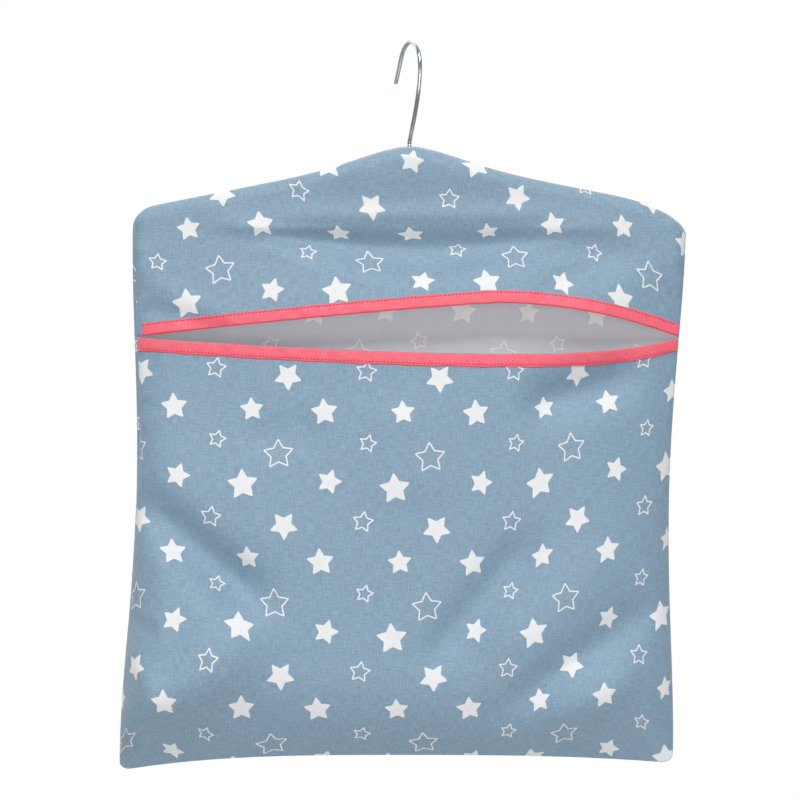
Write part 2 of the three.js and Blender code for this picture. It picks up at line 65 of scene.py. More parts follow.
YOKE_BOX = np.array(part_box("front_yoke")) / MM
HALF_WIDTH = np.ptp(YOKE_BOX[:, 0]) / 2
PEAK_Z = YOKE_BOX[1][2]
BAG_HEIGHT, SHOULDER_DROP, MOUTH_DROP = 413.0, 55.0, 129.0
HEM_Z = PEAK_Z - BAG_HEIGHT
SHOULDER_Z = PEAK_Z - SHOULDER_DROP
MOUTH_Z = PEAK_Z - MOUTH_DROP
print("half width", HALF_WIDTH, "peak", PEAK_Z, "hem", HEM_Z)


# %% Smooth steps
def share(start, stop, x):
    """How far x has come from start to stop, held between 0 and 1."""
    return np.clip((x - start) / (stop - start), 0.0, 1.0)


def ease(start, stop, x):
    """Smooth step from 0 at start to 1 at stop: 3t² - 2t³."""
    t = share(start, stop, x)
    return t * t * (3 - 2 * t)


def lerp(a, b, t):
    """The value a share t of the way from a to b."""
    return a + (b - a) * t


def rolled(distance, rounding):
    """Quarter ellipse: 0 at an edge, 1 once the distance from the edge reaches the rounding."""
    return np.sqrt(1 - (1 - share(0, rounding, distance)) ** 2)


print("a quarter of the way, a smooth step has come", ease(0, 4, 1))

# %% Outline functions
SHOULDER_SLOPE, PEAK_RADIUS = 0.2, 20.0
HUMP, HUMP_WIDTH = 8.5, 45.0
LEFT_CORNER, RIGHT_CORNER, HEM_CORNER = (15.0, 12.0), (48.0, 18.0), (8.0, 6.0)
WAIST, HEM_DRIFT = 7.0, 9.0
LEFT_EAR, RIGHT_EAR = 10.5, 5.5


def corner_cut(offset, corner):
    """Quarter ellipse that rounds off a corner, which is (across, down) in size."""
    wide, down = corner
    return down * (1 - np.sqrt(1 - share(HALF_WIDTH - wide, HALF_WIDTH, offset) ** 2))


def shoulder_z(u):
    """Top edge: a softened ridge, plus a bell-shaped hump at the hook, less the rounded corners."""
    x = np.abs(u) * HALF_WIDTH
    fall = SHOULDER_SLOPE * (np.hypot(x, PEAK_RADIUS) - PEAK_RADIUS)
    fall += HUMP * (1 - np.exp(-((x / HUMP_WIDTH) ** 2)))
    return PEAK_Z - fall - np.where(u < 0, corner_cut(x, LEFT_CORNER), corner_cut(x, RIGHT_CORNER))


def hem_z(u):
    """Lower edge: level in the middle, with ears that hang down as the cube of the distance across."""
    ear = np.where(u < 0, LEFT_EAR, RIGHT_EAR) * np.abs(u) ** 3
    return HEM_Z - ear + corner_cut(np.abs(u) * HALF_WIDTH, HEM_CORNER)


def half_width(t):
    """Half width a share t of the way from the shoulders to the hem: a squared parabola is taken off."""
    return HALF_WIDTH - WAIST * (4 * t * (1 - t)) ** 2


def across(u, z):
    """Place across the bag: a share u of the half width, drifting aside in proportion to the way down."""
    t = share(SHOULDER_Z, HEM_Z, z)
    return u * half_width(t) - HEM_DRIFT * t


print("height at the sides, left and right:", shoulder_z(np.array([-1, 1])) - hem_z(np.array([-1, 1])))

# %% [markdown]
# ## The mouth
# The slit mouth runs from seam to seam. It could be cut into one panel, but the real bag has two panels
# whose edges part, and so has this one. The upper lip arches and the lower lip sags, both most at one point
# right of the middle. A power curve on each side of that point gives the lopsided almond that cloth takes.

# %% Lips of the mouth
LIP_APEX = 0.33
MOUTH_GAP = 0.4
UPPER_ARCH, UPPER_CURVE = 22.0, (1.2, 1.9)
LOWER_SAG, LOWER_CURVE = 11.5, (1.6, 3.0)
BOW_CURVE, END_BOW = (1.6, 2.0), 0.3


def mouth_shape(u, curve):
    """0 at the side seams and 1 at the apex, with a power curve on either side of it."""
    left = 1 - (np.maximum(LIP_APEX - u, 0) / (1 + LIP_APEX)) ** curve[0]
    right = 1 - (np.maximum(u - LIP_APEX, 0) / (1 - LIP_APEX)) ** curve[1]
    return np.where(u < LIP_APEX, left, right)


def upper_lip_z(u):
    """Height of the upper lip's fold: the mouth's line plus the arch."""
    return MOUTH_Z + UPPER_ARCH * mouth_shape(u, UPPER_CURVE)


def lower_lip_z(u):
    """Height of the lower lip's fold: the mouth's line less the gap and the sag."""
    return MOUTH_Z - MOUTH_GAP - LOWER_SAG * mouth_shape(u, LOWER_CURVE)


def lip_bow(u, bow):
    """How far a lip stands out in front of the seam plane: a share at the seams, all of it at the apex."""
    return bow * lerp(END_BOW, 1, mouth_shape(u, BOW_CURVE))


print("the mouth opens by", upper_lip_z(LIP_APEX) - lower_lip_z(LIP_APEX), "mm")

# %% [markdown]
# ## Folds and puckers
# Hanging cloth is never smooth. Slack folds run from the sides down to the middle, swags hang under the
# bar, and a sewn edge puckers. A cloth simulation would find folds of its own, but not the ones that this
# bag has. So each fold is listed: a line, a width and a height, with a bell-shaped section. Those of
# the back are a free choice, because only the front is known.

# %% Where the folds lie
# Each fold: the (x, z) where it starts, where it stops, its half width and how far it stands out.
POCKET_FOLDS = (
    ((-184, -306), (-98, -378), 15, -12.0),
    ((-226, -488), (-98, -396), 23, 13.0),
    ((-206, -426), (-118, -376), 24, 6.0),
    ((-187, -384), (-168, -400), 6, -2.5),
    ((-191, -404), (-160, -448), 8, 3.2),
    ((-113, -268), (-60, -262), 14, -3.0),
    ((84, -330), (12, -418), 14, -7.0),
    ((132, -346), (60, -414), 19, 5.0),
    ((170, -374), (56, -454), 12, -7.0),
    ((156, -422), (92, -461), 13, 6.0),
    ((78, -247), (154, -225), 15, -10.0),
    ((-10, -240), (0, -310), 26, 3.0),
)
YOKE_FOLDS = (
    ((152, -132), (88, -172), 14, -4.5),
    ((-184, -160), (-110, -190), 9, 1.8),
    ((-178, -180), (-120, -196), 6, -1.4),
)
SWAG_FOLDS = (
    ((-130, -120), (-14, -158), 9, 3.6),
    ((136, -122), (28, -158), 9, 3.6),
    ((-92, -117), (104, -117), 7, 2.4),
    ((-70, -84), (80, -84), 22, 4.0),
)
BACK_FOLDS = (
    ((-158, -150), (-50, -292), 22, 4.0),
    ((150, -164), (44, -322), 24, 4.5),
    ((-172, -300), (-62, -424), 18, -4.0),
    ((168, -330), (66, -446), 18, 4.0),
    ((-30, -330), (26, -462), 22, -3.5),
)
print("folds laid:", len(POCKET_FOLDS + YOKE_FOLDS + SWAG_FOLDS + BACK_FOLDS))

# %% Fold and pucker formulas
FOLD_START, FOLD_FULL = -0.15, 0.25
PUCKER_REACH, PUCKER_HEIGHT, PUCKER_START = 11.0, 0.45, 4.0
# Each wave: its length divided by 2π, its height and its phase.
PUCKER_WAVES = ((2.9, 1.0, 0.0), (5.3, 0.7, 1.0), (1.9, 0.6, 2.0))


def laid_folds(x, z, folds):
    """Sum of bell-shaped ridges along straight lines, each eased in and out over its ends."""
    total = np.zeros(np.broadcast(x, z).shape)
    for start, stop, width, height in folds:
        run = np.subtract(stop, start)
        length = np.hypot(*run)
        ahead = ((x - start[0]) * run[0] + (z - start[1]) * run[1]) / length**2
        aside = ((x - start[0]) * run[1] - (z - start[1]) * run[0]) / length
        taper = ease(FOLD_START, FOLD_FULL, ahead) * ease(1 - FOLD_START, 1 - FOLD_FULL, ahead)
        total += height * taper * np.exp(-((aside / width) ** 2))
    return total


def waves(along, parts):
    """Sum of sine waves along a line."""
    return sum(height * np.sin(along / length + phase) for length, height, phase in parts)


def puckers(along, distance):
    """Ripples beside a seam: waves along it that rise just off it and die away with the distance from it."""
    fade = np.exp(-distance / PUCKER_REACH) * ease(0, PUCKER_START, distance)
    return PUCKER_HEIGHT * waves(along, PUCKER_WAVES) * fade


print("largest pucker", puckers(np.arange(100.0), PUCKER_START).max(), "mm")

# %% [markdown]
# ## How the cloth stands out from the seams
# Front and back are sewn together round the edge, so each is flat there and swells between. Over the bar
# the cloth is held to the bar's thickness. Below the bar both sides fall in, and the yoke comes forward
# again to the lip. On the left the back panel rolls round to the front, so the seam shows there. Inflating
# a flat mesh would lose these forms, so each is a formula: sums make the depth, and shares from 0 to 1
# bring it down to nothing at the seams.

# %% Roll at the sides and tuck under the bar
TOP_ROUND, LEFT_ROUND, RIGHT_ROUND, HEM_ROUND = 10.0, 30.0, 84.0, 60.0
ARM_HEIGHT, BAR_FLAT = 26.0, 23.0
TUCK_Z = -124.0
TUCK_MIDDLE, TUCK_SPREAD = 0.08, 0.6
TUCK_LEFT, TUCK_RIGHT = (-0.72, -0.3), (0.8, 0.4)


def from_side(u):
    """Distance from the nearer side seam."""
    return (1 - np.abs(u)) * HALF_WIDTH


def side_roll(u, z):
    """Share of the full depth near the side seams: sharp at the bar's tips, soft well below them."""
    bar_end = shoulder_z(u) - ARM_HEIGHT
    soft = np.where(u < 0, LEFT_ROUND, RIGHT_ROUND)
    return rolled(from_side(u), lerp(TOP_ROUND, soft, ease(bar_end, bar_end - 2 * ARM_HEIGHT, z)))


def tuck_start(u):
    """Distance from the shoulder seam down to a level line, or past the bar's flat face if that is lower."""
    return np.maximum(shoulder_z(u) - TUCK_Z, BAR_FLAT)


def tuck_fade(u):
    """1 where the yoke tucks in under the bar, fading out towards both sides."""
    return ease(*TUCK_LEFT, u) * ease(*TUCK_RIGHT, u)


def tuck_sag(u):
    """Parabola that is 1 where the tuck reaches lowest and 0 at its ends."""
    return np.maximum(1 - ((u - TUCK_MIDDLE) / TUCK_SPREAD) ** 2, 0)


print("the tuck starts", tuck_start(0), "mm below the peak")

# %% Gap round the hook and rolled left seam
BAR_FACE = 8.3
SEAM = 0.08
SLOT_HALF, SLOT_REACH = 3.7, 11.8
WRAP_ANGLE, WRAP_TOP, WRAP_LOW = 0.42, (-126.0, -150.0), (-345.0, -262.0)
WRAP_REACH = 14.0


def slot_gap(u, z):
    """Half the gap round the hook: a flat-topped bell along the seam that dies away downwards."""
    down = (shoulder_z(u) - z) / TOP_ROUND
    return SLOT_HALF * np.exp(-((u * HALF_WIDTH / SLOT_REACH) ** 4) - down)


def wrap(z):
    """Angle by which the back rolls past the left silhouette, only beside the mouth."""
    return WRAP_ANGLE * ease(*WRAP_TOP, z) * ease(*WRAP_LOW, z)


def left_seam(u, z):
    """How far the rolled back carries the front's left edge inwards and forwards, dying away across."""
    near = np.exp(-(1 + u) * HALF_WIDTH / WRAP_REACH)
    inwards = LEFT_ROUND * (1 - np.cos(wrap(z))) * near
    forwards = BAR_FACE * np.sin(wrap(z)) * near
    return inwards, forwards


print("the left seam comes forward by", left_seam(-1, MOUTH_Z)[1], "mm beside the mouth")

# %% [markdown]
# ## The three panels as surfaces
# Each panel is a function of two parameters: u runs from the left seam to the right one, and the second is
# the distance from one of its edges. Whole arrays go in, and an array of points comes out. A sculpted plane
# would hold its shape only in its points, but these functions also carry the tapes and the stitches later,
# so those follow every fold.

# %% Yoke surface
UPPER_BOW = 24.0
TUCK, TUCK_RUN, TUCK_FLOOR, RISE_RUN, TUCK_END = 7.5, 17.0, 4.0, 24.0, 0.4
SLACK_RUN = 20.0
YOKE_SHIFT, LIP_SHARE = 40.0, 0.7


def front_points(u, z, depth):
    """Front cloth: the seam plane, less the slot, the depth and the roll of the left seam."""
    inwards, forwards = left_seam(u, z)
    x = across(u, z) + inwards
    y = -SEAM - slot_gap(u, z) - depth - forwards
    return np.stack(np.broadcast_arrays(x, y, z), axis=-1)


def yoke_surface(u, down):
    """Yoke at a distance down from the shoulder seam: over the bar, back under it, forward to the lip."""
    z = shoulder_z(u) - down
    x = across(u, z)
    full = shoulder_z(u) - upper_lip_z(u)
    start = tuck_start(u)
    shrink = lerp(TUCK_END, 1, tuck_sag(u))
    rise = start + (TUCK_RUN + TUCK_FLOOR) * shrink
    hollow = ease(start, start + TUCK_RUN * shrink, down) - ease(rise, rise + RISE_RUN * shrink, down)
    depth = lerp(BAR_FACE, lip_bow(u, UPPER_BOW), ease(start, full, down)) - TUCK * tuck_fade(u) * hollow
    depth = depth + laid_folds(x, z, YOKE_FOLDS) * ease(start, start + SLACK_RUN, down)
    depth = depth + laid_folds(x, z, SWAG_FOLDS)
    depth = depth + puckers(z + YOKE_SHIFT * np.sign(u), from_side(u)) + LIP_SHARE * puckers(x, full - down)
    return front_points(u, z, depth * rolled(down, TOP_ROUND) * side_roll(u, z))


print("yoke over the bar, x y z:", yoke_surface(0.0, ARM_HEIGHT))

# %% Pocket surface
LOWER_BOW, POCKET_BELLY, HEM_POWER = 31.0, 30.0, 1.9
EDGE_TO_FOLD = 1.25
POCKET_SHIFT, LIP_SHIFT, HEM_STRETCH = -25.0, 9.0, 0.9


def pocket_surface(u, down):
    """Pocket at a distance down from its upper edge: bowed at the lip, bellied, rolled in at the hem."""
    top = lower_lip_z(u) - EDGE_TO_FOLD
    z = top - down
    x = across(u, z)
    full = top - hem_z(u)
    depth = lerp(lip_bow(u, LOWER_BOW), POCKET_BELLY, ease(0, full / 2, down))
    depth = depth + laid_folds(x, z, POCKET_FOLDS)
    depth = depth + puckers(z + POCKET_SHIFT * np.sign(u), from_side(u))
    depth = depth + puckers(x * HEM_STRETCH, full - down) + LIP_SHARE * puckers(x + LIP_SHIFT, down)
    hem_roll = 1 - (1 - share(0, HEM_ROUND, full - down)) ** HEM_POWER
    return front_points(u, z, depth * hem_roll * side_roll(u, z))


print("pocket at the lip's apex, x y z:", pocket_surface(LIP_APEX, 0.0))

# %% Back surface
BACK_BELLY = 8.0
BACK_TUCK, BACK_RUN, BACK_RETURN = 4.0, 16.0, 60.0


def back_surface(u, down):
    """Back at a distance down from the shoulder seam. Left of u = -1 it rolls on round to the front."""
    inside = np.maximum(u, -1.0)
    z = shoulder_z(inside) - down
    x = across(inside, z)
    turn = (inside - u) * wrap(z)
    full = shoulder_z(inside) - hem_z(inside)
    low = tuck_start(inside) + BACK_RUN
    hollow = ease(low - BACK_RUN, low, down) - ease(low, low + BACK_RETURN, down)
    depth = lerp(BAR_FACE, BACK_BELLY, share(0, full, down)) - BACK_TUCK * hollow
    depth = depth + laid_folds(x, z, BACK_FOLDS)
    depth = depth + puckers(z, from_side(inside)) + puckers(x, full - down)
    depth = depth * rolled(down, TOP_ROUND) * rolled(full - down, HEM_ROUND) * side_roll(inside, z)
    y = SEAM + slot_gap(inside, z) + depth - BAR_FACE * np.sin(turn)
    return np.stack(np.broadcast_arrays(x + LEFT_ROUND * (1 - np.cos(turn)), y, z), axis=-1)


print("back over the bar, x y z:", back_surface(0.0, ARM_HEIGHT))

# %% [markdown]
# ## From a grid of points to a mesh
# Blender can build a grid itself, but then every point has to be moved in a loop. Here the arrays are
# complete, and foreach_set copies them into the mesh in one go. Cloth has two faces, so a shell is made of
# an outer grid, an inner grid and a rim that joins them, and it is a closed solid.


# %% Grid to mesh
def grid_quads(rows, columns, first=0, flip=False):
    """Corner numbers of the quads of a grid whose points are numbered row by row."""
    number = first + np.arange(rows * columns).reshape(rows, columns)
    corners = (number[:-1, :-1], number[1:, :-1], number[1:, 1:], number[:-1, 1:])
    quads = np.stack(corners, axis=-1).reshape(-1, 4)
    return quads[:, ::-1] if flip else quads


def mesh_object(name, points, quads, uv=None, slots=None):
    """A smooth object at the origin, from points in millimetres, with one UV for each point."""
    mesh = bpy.data.meshes.new(name)
    mesh.vertices.add(len(points))
    mesh.vertices.foreach_set("co", (points * MM).astype(np.float32).ravel())
    mesh.loops.add(quads.size)
    mesh.loops.foreach_set("vertex_index", quads.astype(np.int32).ravel())
    mesh.polygons.add(len(quads))
    mesh.polygons.foreach_set("loop_start", np.arange(0, quads.size, 4, dtype=np.int32))
    mesh.polygons.foreach_set("use_smooth", np.ones(len(quads), dtype=bool))
    if slots is not None:
        mesh.polygons.foreach_set("material_index", slots.astype(np.int32))
    mesh.update(calc_edges=True)
    if uv is not None:
        layer = mesh.uv_layers.new(name="cloth")
        layer.uv.foreach_set("vector", (uv * MM)[quads.ravel()].astype(np.float32).ravel())
    piece = bpy.data.objects.new(name, mesh)
    bpy.context.scene.collection.objects.link(piece)
    return piece


def weld(piece, distance=1e-6):
    """Merge points that lie together: ends of tubes that have no radius, and strips that have no width."""
    bpy.context.view_layer.objects.active = piece
    merge = piece.modifiers.new("weld", "WELD")
    merge.merge_threshold = distance
    with bpy.context.temp_override(object=piece, active_object=piece, selected_objects=[piece]):
        bpy.ops.object.modifier_apply(modifier=merge.name)
    return piece


print("a grid of 3 by 4 points has", len(grid_quads(3, 4)), "faces")


# %% Closed shells
def rim_quads(rows, columns):
    """Quads round the border of two stacked grids, from the outer grid to the inner one."""
    number = np.arange(rows * columns).reshape(rows, columns)
    ring = np.concatenate([number[0, :-1], number[:-1, -1], number[-1, :0:-1], number[:0:-1, 0]])
    after = np.roll(ring, -1)
    return np.stack([ring, after, after + rows * columns, ring + rows * columns], axis=-1)


def closed_shell(name, outer, inner, uv=None, flip=False):
    """A closed solid between two grids: slot 0 on the outer face and the rim, slot 1 on the inner face."""
    rows, columns = outer.shape[:2]
    faces = (
        grid_quads(rows, columns, 0, flip),
        grid_quads(rows, columns, rows * columns, not flip),
        rim_quads(rows, columns)[:, ::-1] if flip else rim_quads(rows, columns),
    )
    slots = np.concatenate([np.full(len(part), side) for part, side in zip(faces, (0, 1, 0))])
    points = np.concatenate([outer.reshape(-1, 3), inner.reshape(-1, 3)])
    both = None if uv is None else np.tile(uv.reshape(-1, 2), (2, 1))
    return mesh_object(name, points, np.concatenate(faces), both, slots)


def unit(vectors):
    """Vectors scaled to a length of 1."""
    return vectors / np.maximum(np.linalg.norm(vectors, axis=-1, keepdims=True), 1e-9)


def grid_normals(points):
    """Unit normals of a grid: the direction down the rows crossed with the direction along them."""
    return unit(np.cross(np.gradient(points, axis=0), np.gradient(points, axis=1)))


print("a rim round 3 by 4 points has", len(rim_quads(3, 4)), "faces")

# %% [markdown]
# ## The print follows the cloth
# A flat cloth keeps its printed pattern when it is folded, so the stars in a fold look squashed. The UV map
# therefore holds lengths along the cloth: across, the sum of the steps in plan, and down, the sum of the
# steps in profile. Small terms then lean and gather the print as the cut and the seams do.

# %% Lengths along the cloth
LEAN = 0.15
GATHER, GATHER_FROM = 0.115, 45.0


def lengths(points, axis):
    """Distance travelled along the grid from its first row or column."""
    steps = np.linalg.norm(np.diff(points, axis=axis), axis=-1)
    first = np.zeros_like(np.take(points[..., 0], [0], axis=axis))
    return np.concatenate([first, np.cumsum(steps, axis=axis)], axis=axis)


def cloth_uv(points):
    """Lengths across from the bag's middle line, gathered on the right, and down from the upper edge."""
    middle = np.argmin(np.abs(points[:1, :, 0]))
    right = lengths(points[..., :2], 1)
    right = right - right[:, [middle]] + LEAN * points[:, [middle], 0]
    right = right + GATHER * np.maximum(right - GATHER_FROM, 0)
    return right, lengths(points[..., 1:], 0)


bar_path = yoke_surface(np.linspace(-1, 1, 200)[None, :], ARM_HEIGHT)
print("cloth across the bar:", lengths(bar_path, 1).max(), "mm")

# %% [markdown]
# ## Yoke, pocket and back
# The grid is fine where the cloth turns and coarser where it is nearly flat. The inner face of each panel
# is the outer one moved in along its normal by the thickness of the cloth. A solidify modifier does the
# same, but here both faces are known, and the inner one gets a slot of its own for the wrong side of the
# print.

# %% Rows and columns
CLOTH = 0.7
CLOTH_PITCH, BACK_PITCH = 2.3, 2.8
SIDE_STEPS = 18


def columns_across(pitch, left, right):
    """Values of u: even steps of angle round the rolled sides, then even steps of the pitch between."""
    angle = np.linspace(0, np.pi / 2, SIDE_STEPS)
    from_left = -1 + left * (1 - np.cos(angle)) / HALF_WIDTH
    from_right = 1 - right * (1 - np.cos(angle[::-1])) / HALF_WIDTH
    count = int((from_right[0] - from_left[-1]) * HALF_WIDTH / pitch)
    between = np.linspace(from_left[-1], from_right[0], count)
    return np.concatenate([from_left[:-1], between, from_right[1:]])


def edge_rows(rounding, count):
    """Distances from a rolled edge, in even steps of angle, as a column."""
    return rounding * (1 - np.cos(np.linspace(0, np.pi / 2, count)))[:, None]


def rows_down(full, between, top=0, low=0):
    """Distances down each column: even steps of angle over the rolled edges, even steps between."""
    upper = TOP_ROUND if top else 0.0
    lower = HEM_ROUND if low else 0.0
    rest = upper + np.linspace(0, 1, between)[:, None] * (full - upper - lower)
    first = edge_rows(TOP_ROUND, top)[:-1] + 0 * full
    last = full - edge_rows(HEM_ROUND, low)[::-1][1:]
    return np.concatenate([first, rest, last])


def panel(name, outer, uv, front):
    """One panel: outer grid, inner grid a cloth's thickness behind it, and the print's coordinates."""
    outwards = grid_normals(outer) if front else -grid_normals(outer)
    return closed_shell(name, outer, outer - CLOTH * outwards, uv, flip=not front)


yoke_u = columns_across(CLOTH_PITCH, TOP_ROUND, RIGHT_ROUND)[None, :]
pocket_u = columns_across(CLOTH_PITCH, LEFT_ROUND, RIGHT_ROUND)[None, :]
back_u = columns_across(BACK_PITCH, LEFT_ROUND, RIGHT_ROUND)
print("columns of yoke, pocket and back:", yoke_u.size, pocket_u.size, back_u.size)

# %% Yoke
YOKE_TOP_ROWS, YOKE_ROWS = 14, 112
YOKE_SHEAR, YOKE_TILT, TUCK_SLACK = 0.08, 0.02, 13.0
YOKE_PRINT = (-46.0, 14.5)

yoke_full = shoulder_z(yoke_u) - upper_lip_z(yoke_u) - EDGE_TO_FOLD
yoke_rows = rows_down(yoke_full, YOKE_ROWS, top=YOKE_TOP_ROWS)
yoke_grid = yoke_surface(yoke_u, yoke_rows)
yoke_right, yoke_down = cloth_uv(yoke_grid)
under_bar = tuck_start(yoke_u)
yoke_down = yoke_down + TUCK_SLACK * tuck_sag(yoke_u) * ease(under_bar, under_bar + TUCK_RUN, yoke_rows)
yoke_up = yoke_down[-1:] - yoke_down
yoke_print = (yoke_right + YOKE_SHEAR * yoke_up, yoke_up + YOKE_TILT * yoke_right)
yoke = panel("yoke_cloth", yoke_grid, np.stack(yoke_print, axis=-1) - YOKE_PRINT, front=True)
print(yoke.name, len(yoke.data.polygons), "faces, longest column", yoke_down[-1].max(), "mm")

# %% Pocket
# The print is let down near the lower left corner, where lengths taken over the steep fold draw it up.
POCKET_ROWS, POCKET_LOW_ROWS = 108, 16
POCKET_TILT, TAKE_UP = 0.025, 2e-5
FLAT_CORNER, FLAT_REACH, FLAT_DOWN = -0.63, 0.15, (200.0, 285.0)
FLAT_SHIFT, FLAT_DROP = 4.0, 18.0
POCKET_PRINT = (-7.0, -90.0)

pocket_full = lower_lip_z(pocket_u) - EDGE_TO_FOLD - hem_z(pocket_u)
pocket_grid = pocket_surface(pocket_u, rows_down(pocket_full, POCKET_ROWS, low=POCKET_LOW_ROWS))
pocket_right, pocket_down = cloth_uv(pocket_grid)
flat = np.exp(-(((pocket_u - FLAT_CORNER) / FLAT_REACH) ** 2)) * ease(*FLAT_DOWN, pocket_down)
pocket_right = pocket_right + FLAT_SHIFT * flat
pocket_fall = pocket_down * (1 + TAKE_UP * pocket_down) + POCKET_TILT * pocket_right - FLAT_DROP * flat
pocket_uv = np.stack([pocket_right, -pocket_fall], axis=-1) - POCKET_PRINT
pocket = panel("pocket_cloth", pocket_grid, pocket_uv, front=True)
print(pocket.name, len(pocket.data.polygons), "faces, mean column", lengths(pocket_grid, 0)[-1].mean(), "mm")

# %% Back
# Columns left of u = -1 make the roll beside the mouth. Elsewhere they lie together until the weld.
BACK_TOP_ROWS, BACK_ROWS, BACK_LOW_ROWS, WRAP_COLUMNS = 12, 140, 14, 8
BACK_PRINT = (9.4, 52.7)

back_u = np.concatenate([np.linspace(-2, -1, WRAP_COLUMNS)[:-1], back_u])[None, :]
back_inside = np.maximum(back_u, -1)
back_full = shoulder_z(back_inside) - hem_z(back_inside)
back_grid = back_surface(back_u, rows_down(back_full, BACK_ROWS, BACK_TOP_ROWS, BACK_LOW_ROWS))
back_right, back_down = cloth_uv(back_grid)
back_uv = np.stack([-back_right, back_down[-1:] - back_down], axis=-1) - BACK_PRINT
back = weld(panel("back_cloth", back_grid, back_uv, front=False))
print(back.name, len(back.data.polygons), "faces")

# %% [markdown]
# ## Binding tape
# A strip of coral tape is folded over each raw edge of the mouth. Its section is a flat U that grips the
# cloth: a leg in front, a round fold past the edge, and a leg inside. The section is a list of pairs: how
# far from the fold, and how far out of the cloth's face. A bevelled curve would twist on the way, but a
# section carried along the lip by the cloth's own normal follows every wave of it.

# %% Section of the tape
TAPE, TAPE_INSIDE, TAPE_WIDTH = 0.85, 0.03, 8.8
# Shares of the width, from the tape's edge to its fold. The edge's also have shares of the thickness.
EDGE_CURVE = ((1.0, 0.25), (0.985, 0.7), (0.95, 0.95), (0.88, 1.0))
LEG_STEPS = (0.8, 0.7, 0.6, 0.5, 0.4, 0.3, 0.22)
FOLD_STEPS = 11


def tape_section(thick):
    """Front leg, half circle of the fold, inner leg: distances from the fold, and heights off the cloth."""
    edge, edge_lift = np.transpose(EDGE_CURVE)
    leg = np.concatenate([edge, LEG_STEPS]) * TAPE_WIDTH
    lift = np.concatenate([edge_lift, np.ones(len(LEG_STEPS))]) * thick
    turn = np.linspace(0, np.pi, FOLD_STEPS)
    fold_radius = CLOTH / 2 + thick
    from_fold = EDGE_TO_FOLD - fold_radius * np.sin(turn)
    out = -CLOTH / 2 + fold_radius * np.cos(turn)
    reach = np.concatenate([leg, from_fold, leg[::-1]])
    height = np.concatenate([lift, out, -CLOTH - lift[::-1]])
    return reach, height


def lengths_round(section):
    """Distance travelled round a section, which is the width across the unfolded tape."""
    return np.concatenate([[0], np.cumsum(np.hypot(*np.diff(section, axis=1)))])


print("unfolded tape", lengths_round(tape_section(TAPE))[-1], "mm wide")

# %% Lips that carry the tape
NEAR = 0.4


def lip_point(surface, u, distance):
    """Cloth point at a distance from its raw edge, with the unit normal outwards and the way to the edge."""
    here = surface(u, distance)
    along = surface(u + NEAR / HALF_WIDTH, distance) - surface(u - NEAR / HALF_WIDTH, distance)
    inwards = unit(surface(u, distance + NEAR) - here)
    normal = unit(np.cross(inwards, along))
    normal = np.where(normal[..., 1:2] > 0, -normal, normal)
    return here, normal, -inwards


def yoke_edge(u, distance):
    """Yoke at a distance up from its raw lower edge."""
    return yoke_surface(u, shoulder_z(u) - upper_lip_z(u) - EDGE_TO_FOLD - distance)


def on_cloth(surface, u, from_fold, out):
    """Points at a distance from the fold and a height off the cloth, along a lip."""
    here, normal, to_edge = lip_point(surface, u, np.maximum(from_fold - EDGE_TO_FOLD, 0))
    return here + normal * out[..., None] + to_edge * np.maximum(EDGE_TO_FOLD - from_fold, 0)[..., None]


print("normal of the pocket's lip:", lip_point(pocket_surface, np.array(LIP_APEX), np.array(0.0))[1])

# %% Tapes
TAPE_COLUMNS = 620
TAPE_END, YOKE_TAPE_START = 1.2, 5.0
TAPE_WAVES, WAVES_FROM = ((6.1, 0.18, 0.0), (2.7, 0.14, 1.0)), 2.0
STITCH_PITCH, STITCH_INSET = 2.5, 1.5
STITCH_DIP, DIMPLE_WIDTH, DIMPLE_LEVEL = 0.45, 0.9, 0.6


def tape_piece(name, surface, left_end, flip):
    """A folded tape along a lip, left_end short of the left seam, with dimples at its stitches."""
    u = np.linspace(-1 + left_end / HALF_WIDTH, 1 - TAPE_END / HALF_WIDTH, TAPE_COLUMNS)[None, :]
    along = u * HALF_WIDTH
    beat = DIMPLE_LEVEL + (1 - DIMPLE_LEVEL) * np.cos(2 * np.pi * along / STITCH_PITCH)
    skins = []
    for thick in (TAPE, TAPE_INSIDE):
        from_fold, out = (part[:, None] for part in tape_section(thick))
        row = np.exp(-(((from_fold - TAPE_WIDTH + STITCH_INSET) / DIMPLE_WIDTH) ** 2))
        dip = STITCH_DIP * row * beat * np.sign(out) * (thick / TAPE)
        reach = from_fold + waves(along, TAPE_WAVES) * share(WAVES_FROM, TAPE_WIDTH, from_fold)
        skins.append(on_cloth(surface, u, reach, out - dip))
    width = lengths_round(tape_section(TAPE))[:, None]
    return closed_shell(name, *skins, np.stack(np.broadcast_arrays(along, width), axis=-1), flip=flip)


yoke_tape = tape_piece("yoke_tape", yoke_edge, YOKE_TAPE_START, flip=False)
pocket_tape = tape_piece("pocket_tape", pocket_surface, TAPE_END, flip=True)
print("tape faces", len(yoke_tape.data.polygons), len(pocket_tape.data.polygons))

# %% [markdown]
# ## Stitches
# One stitch is a short thread that comes up out of the cloth, lies on it and goes down again. A bump
# texture could fake it, but not at a seam's outline. It is made once as a small tube of a few dozen faces,
# and copies stand in a row along the seam: one array product places every copy by the point, the direction
# and the normal of its own spot.

# %% One stitch
STITCH_SIDES = 6
STITCH_RINGS = 6
THREAD_RADIUS = 0.3
STITCH_LIFT, STITCH_SINK, STITCH_END = 0.16, 0.5, 0.02


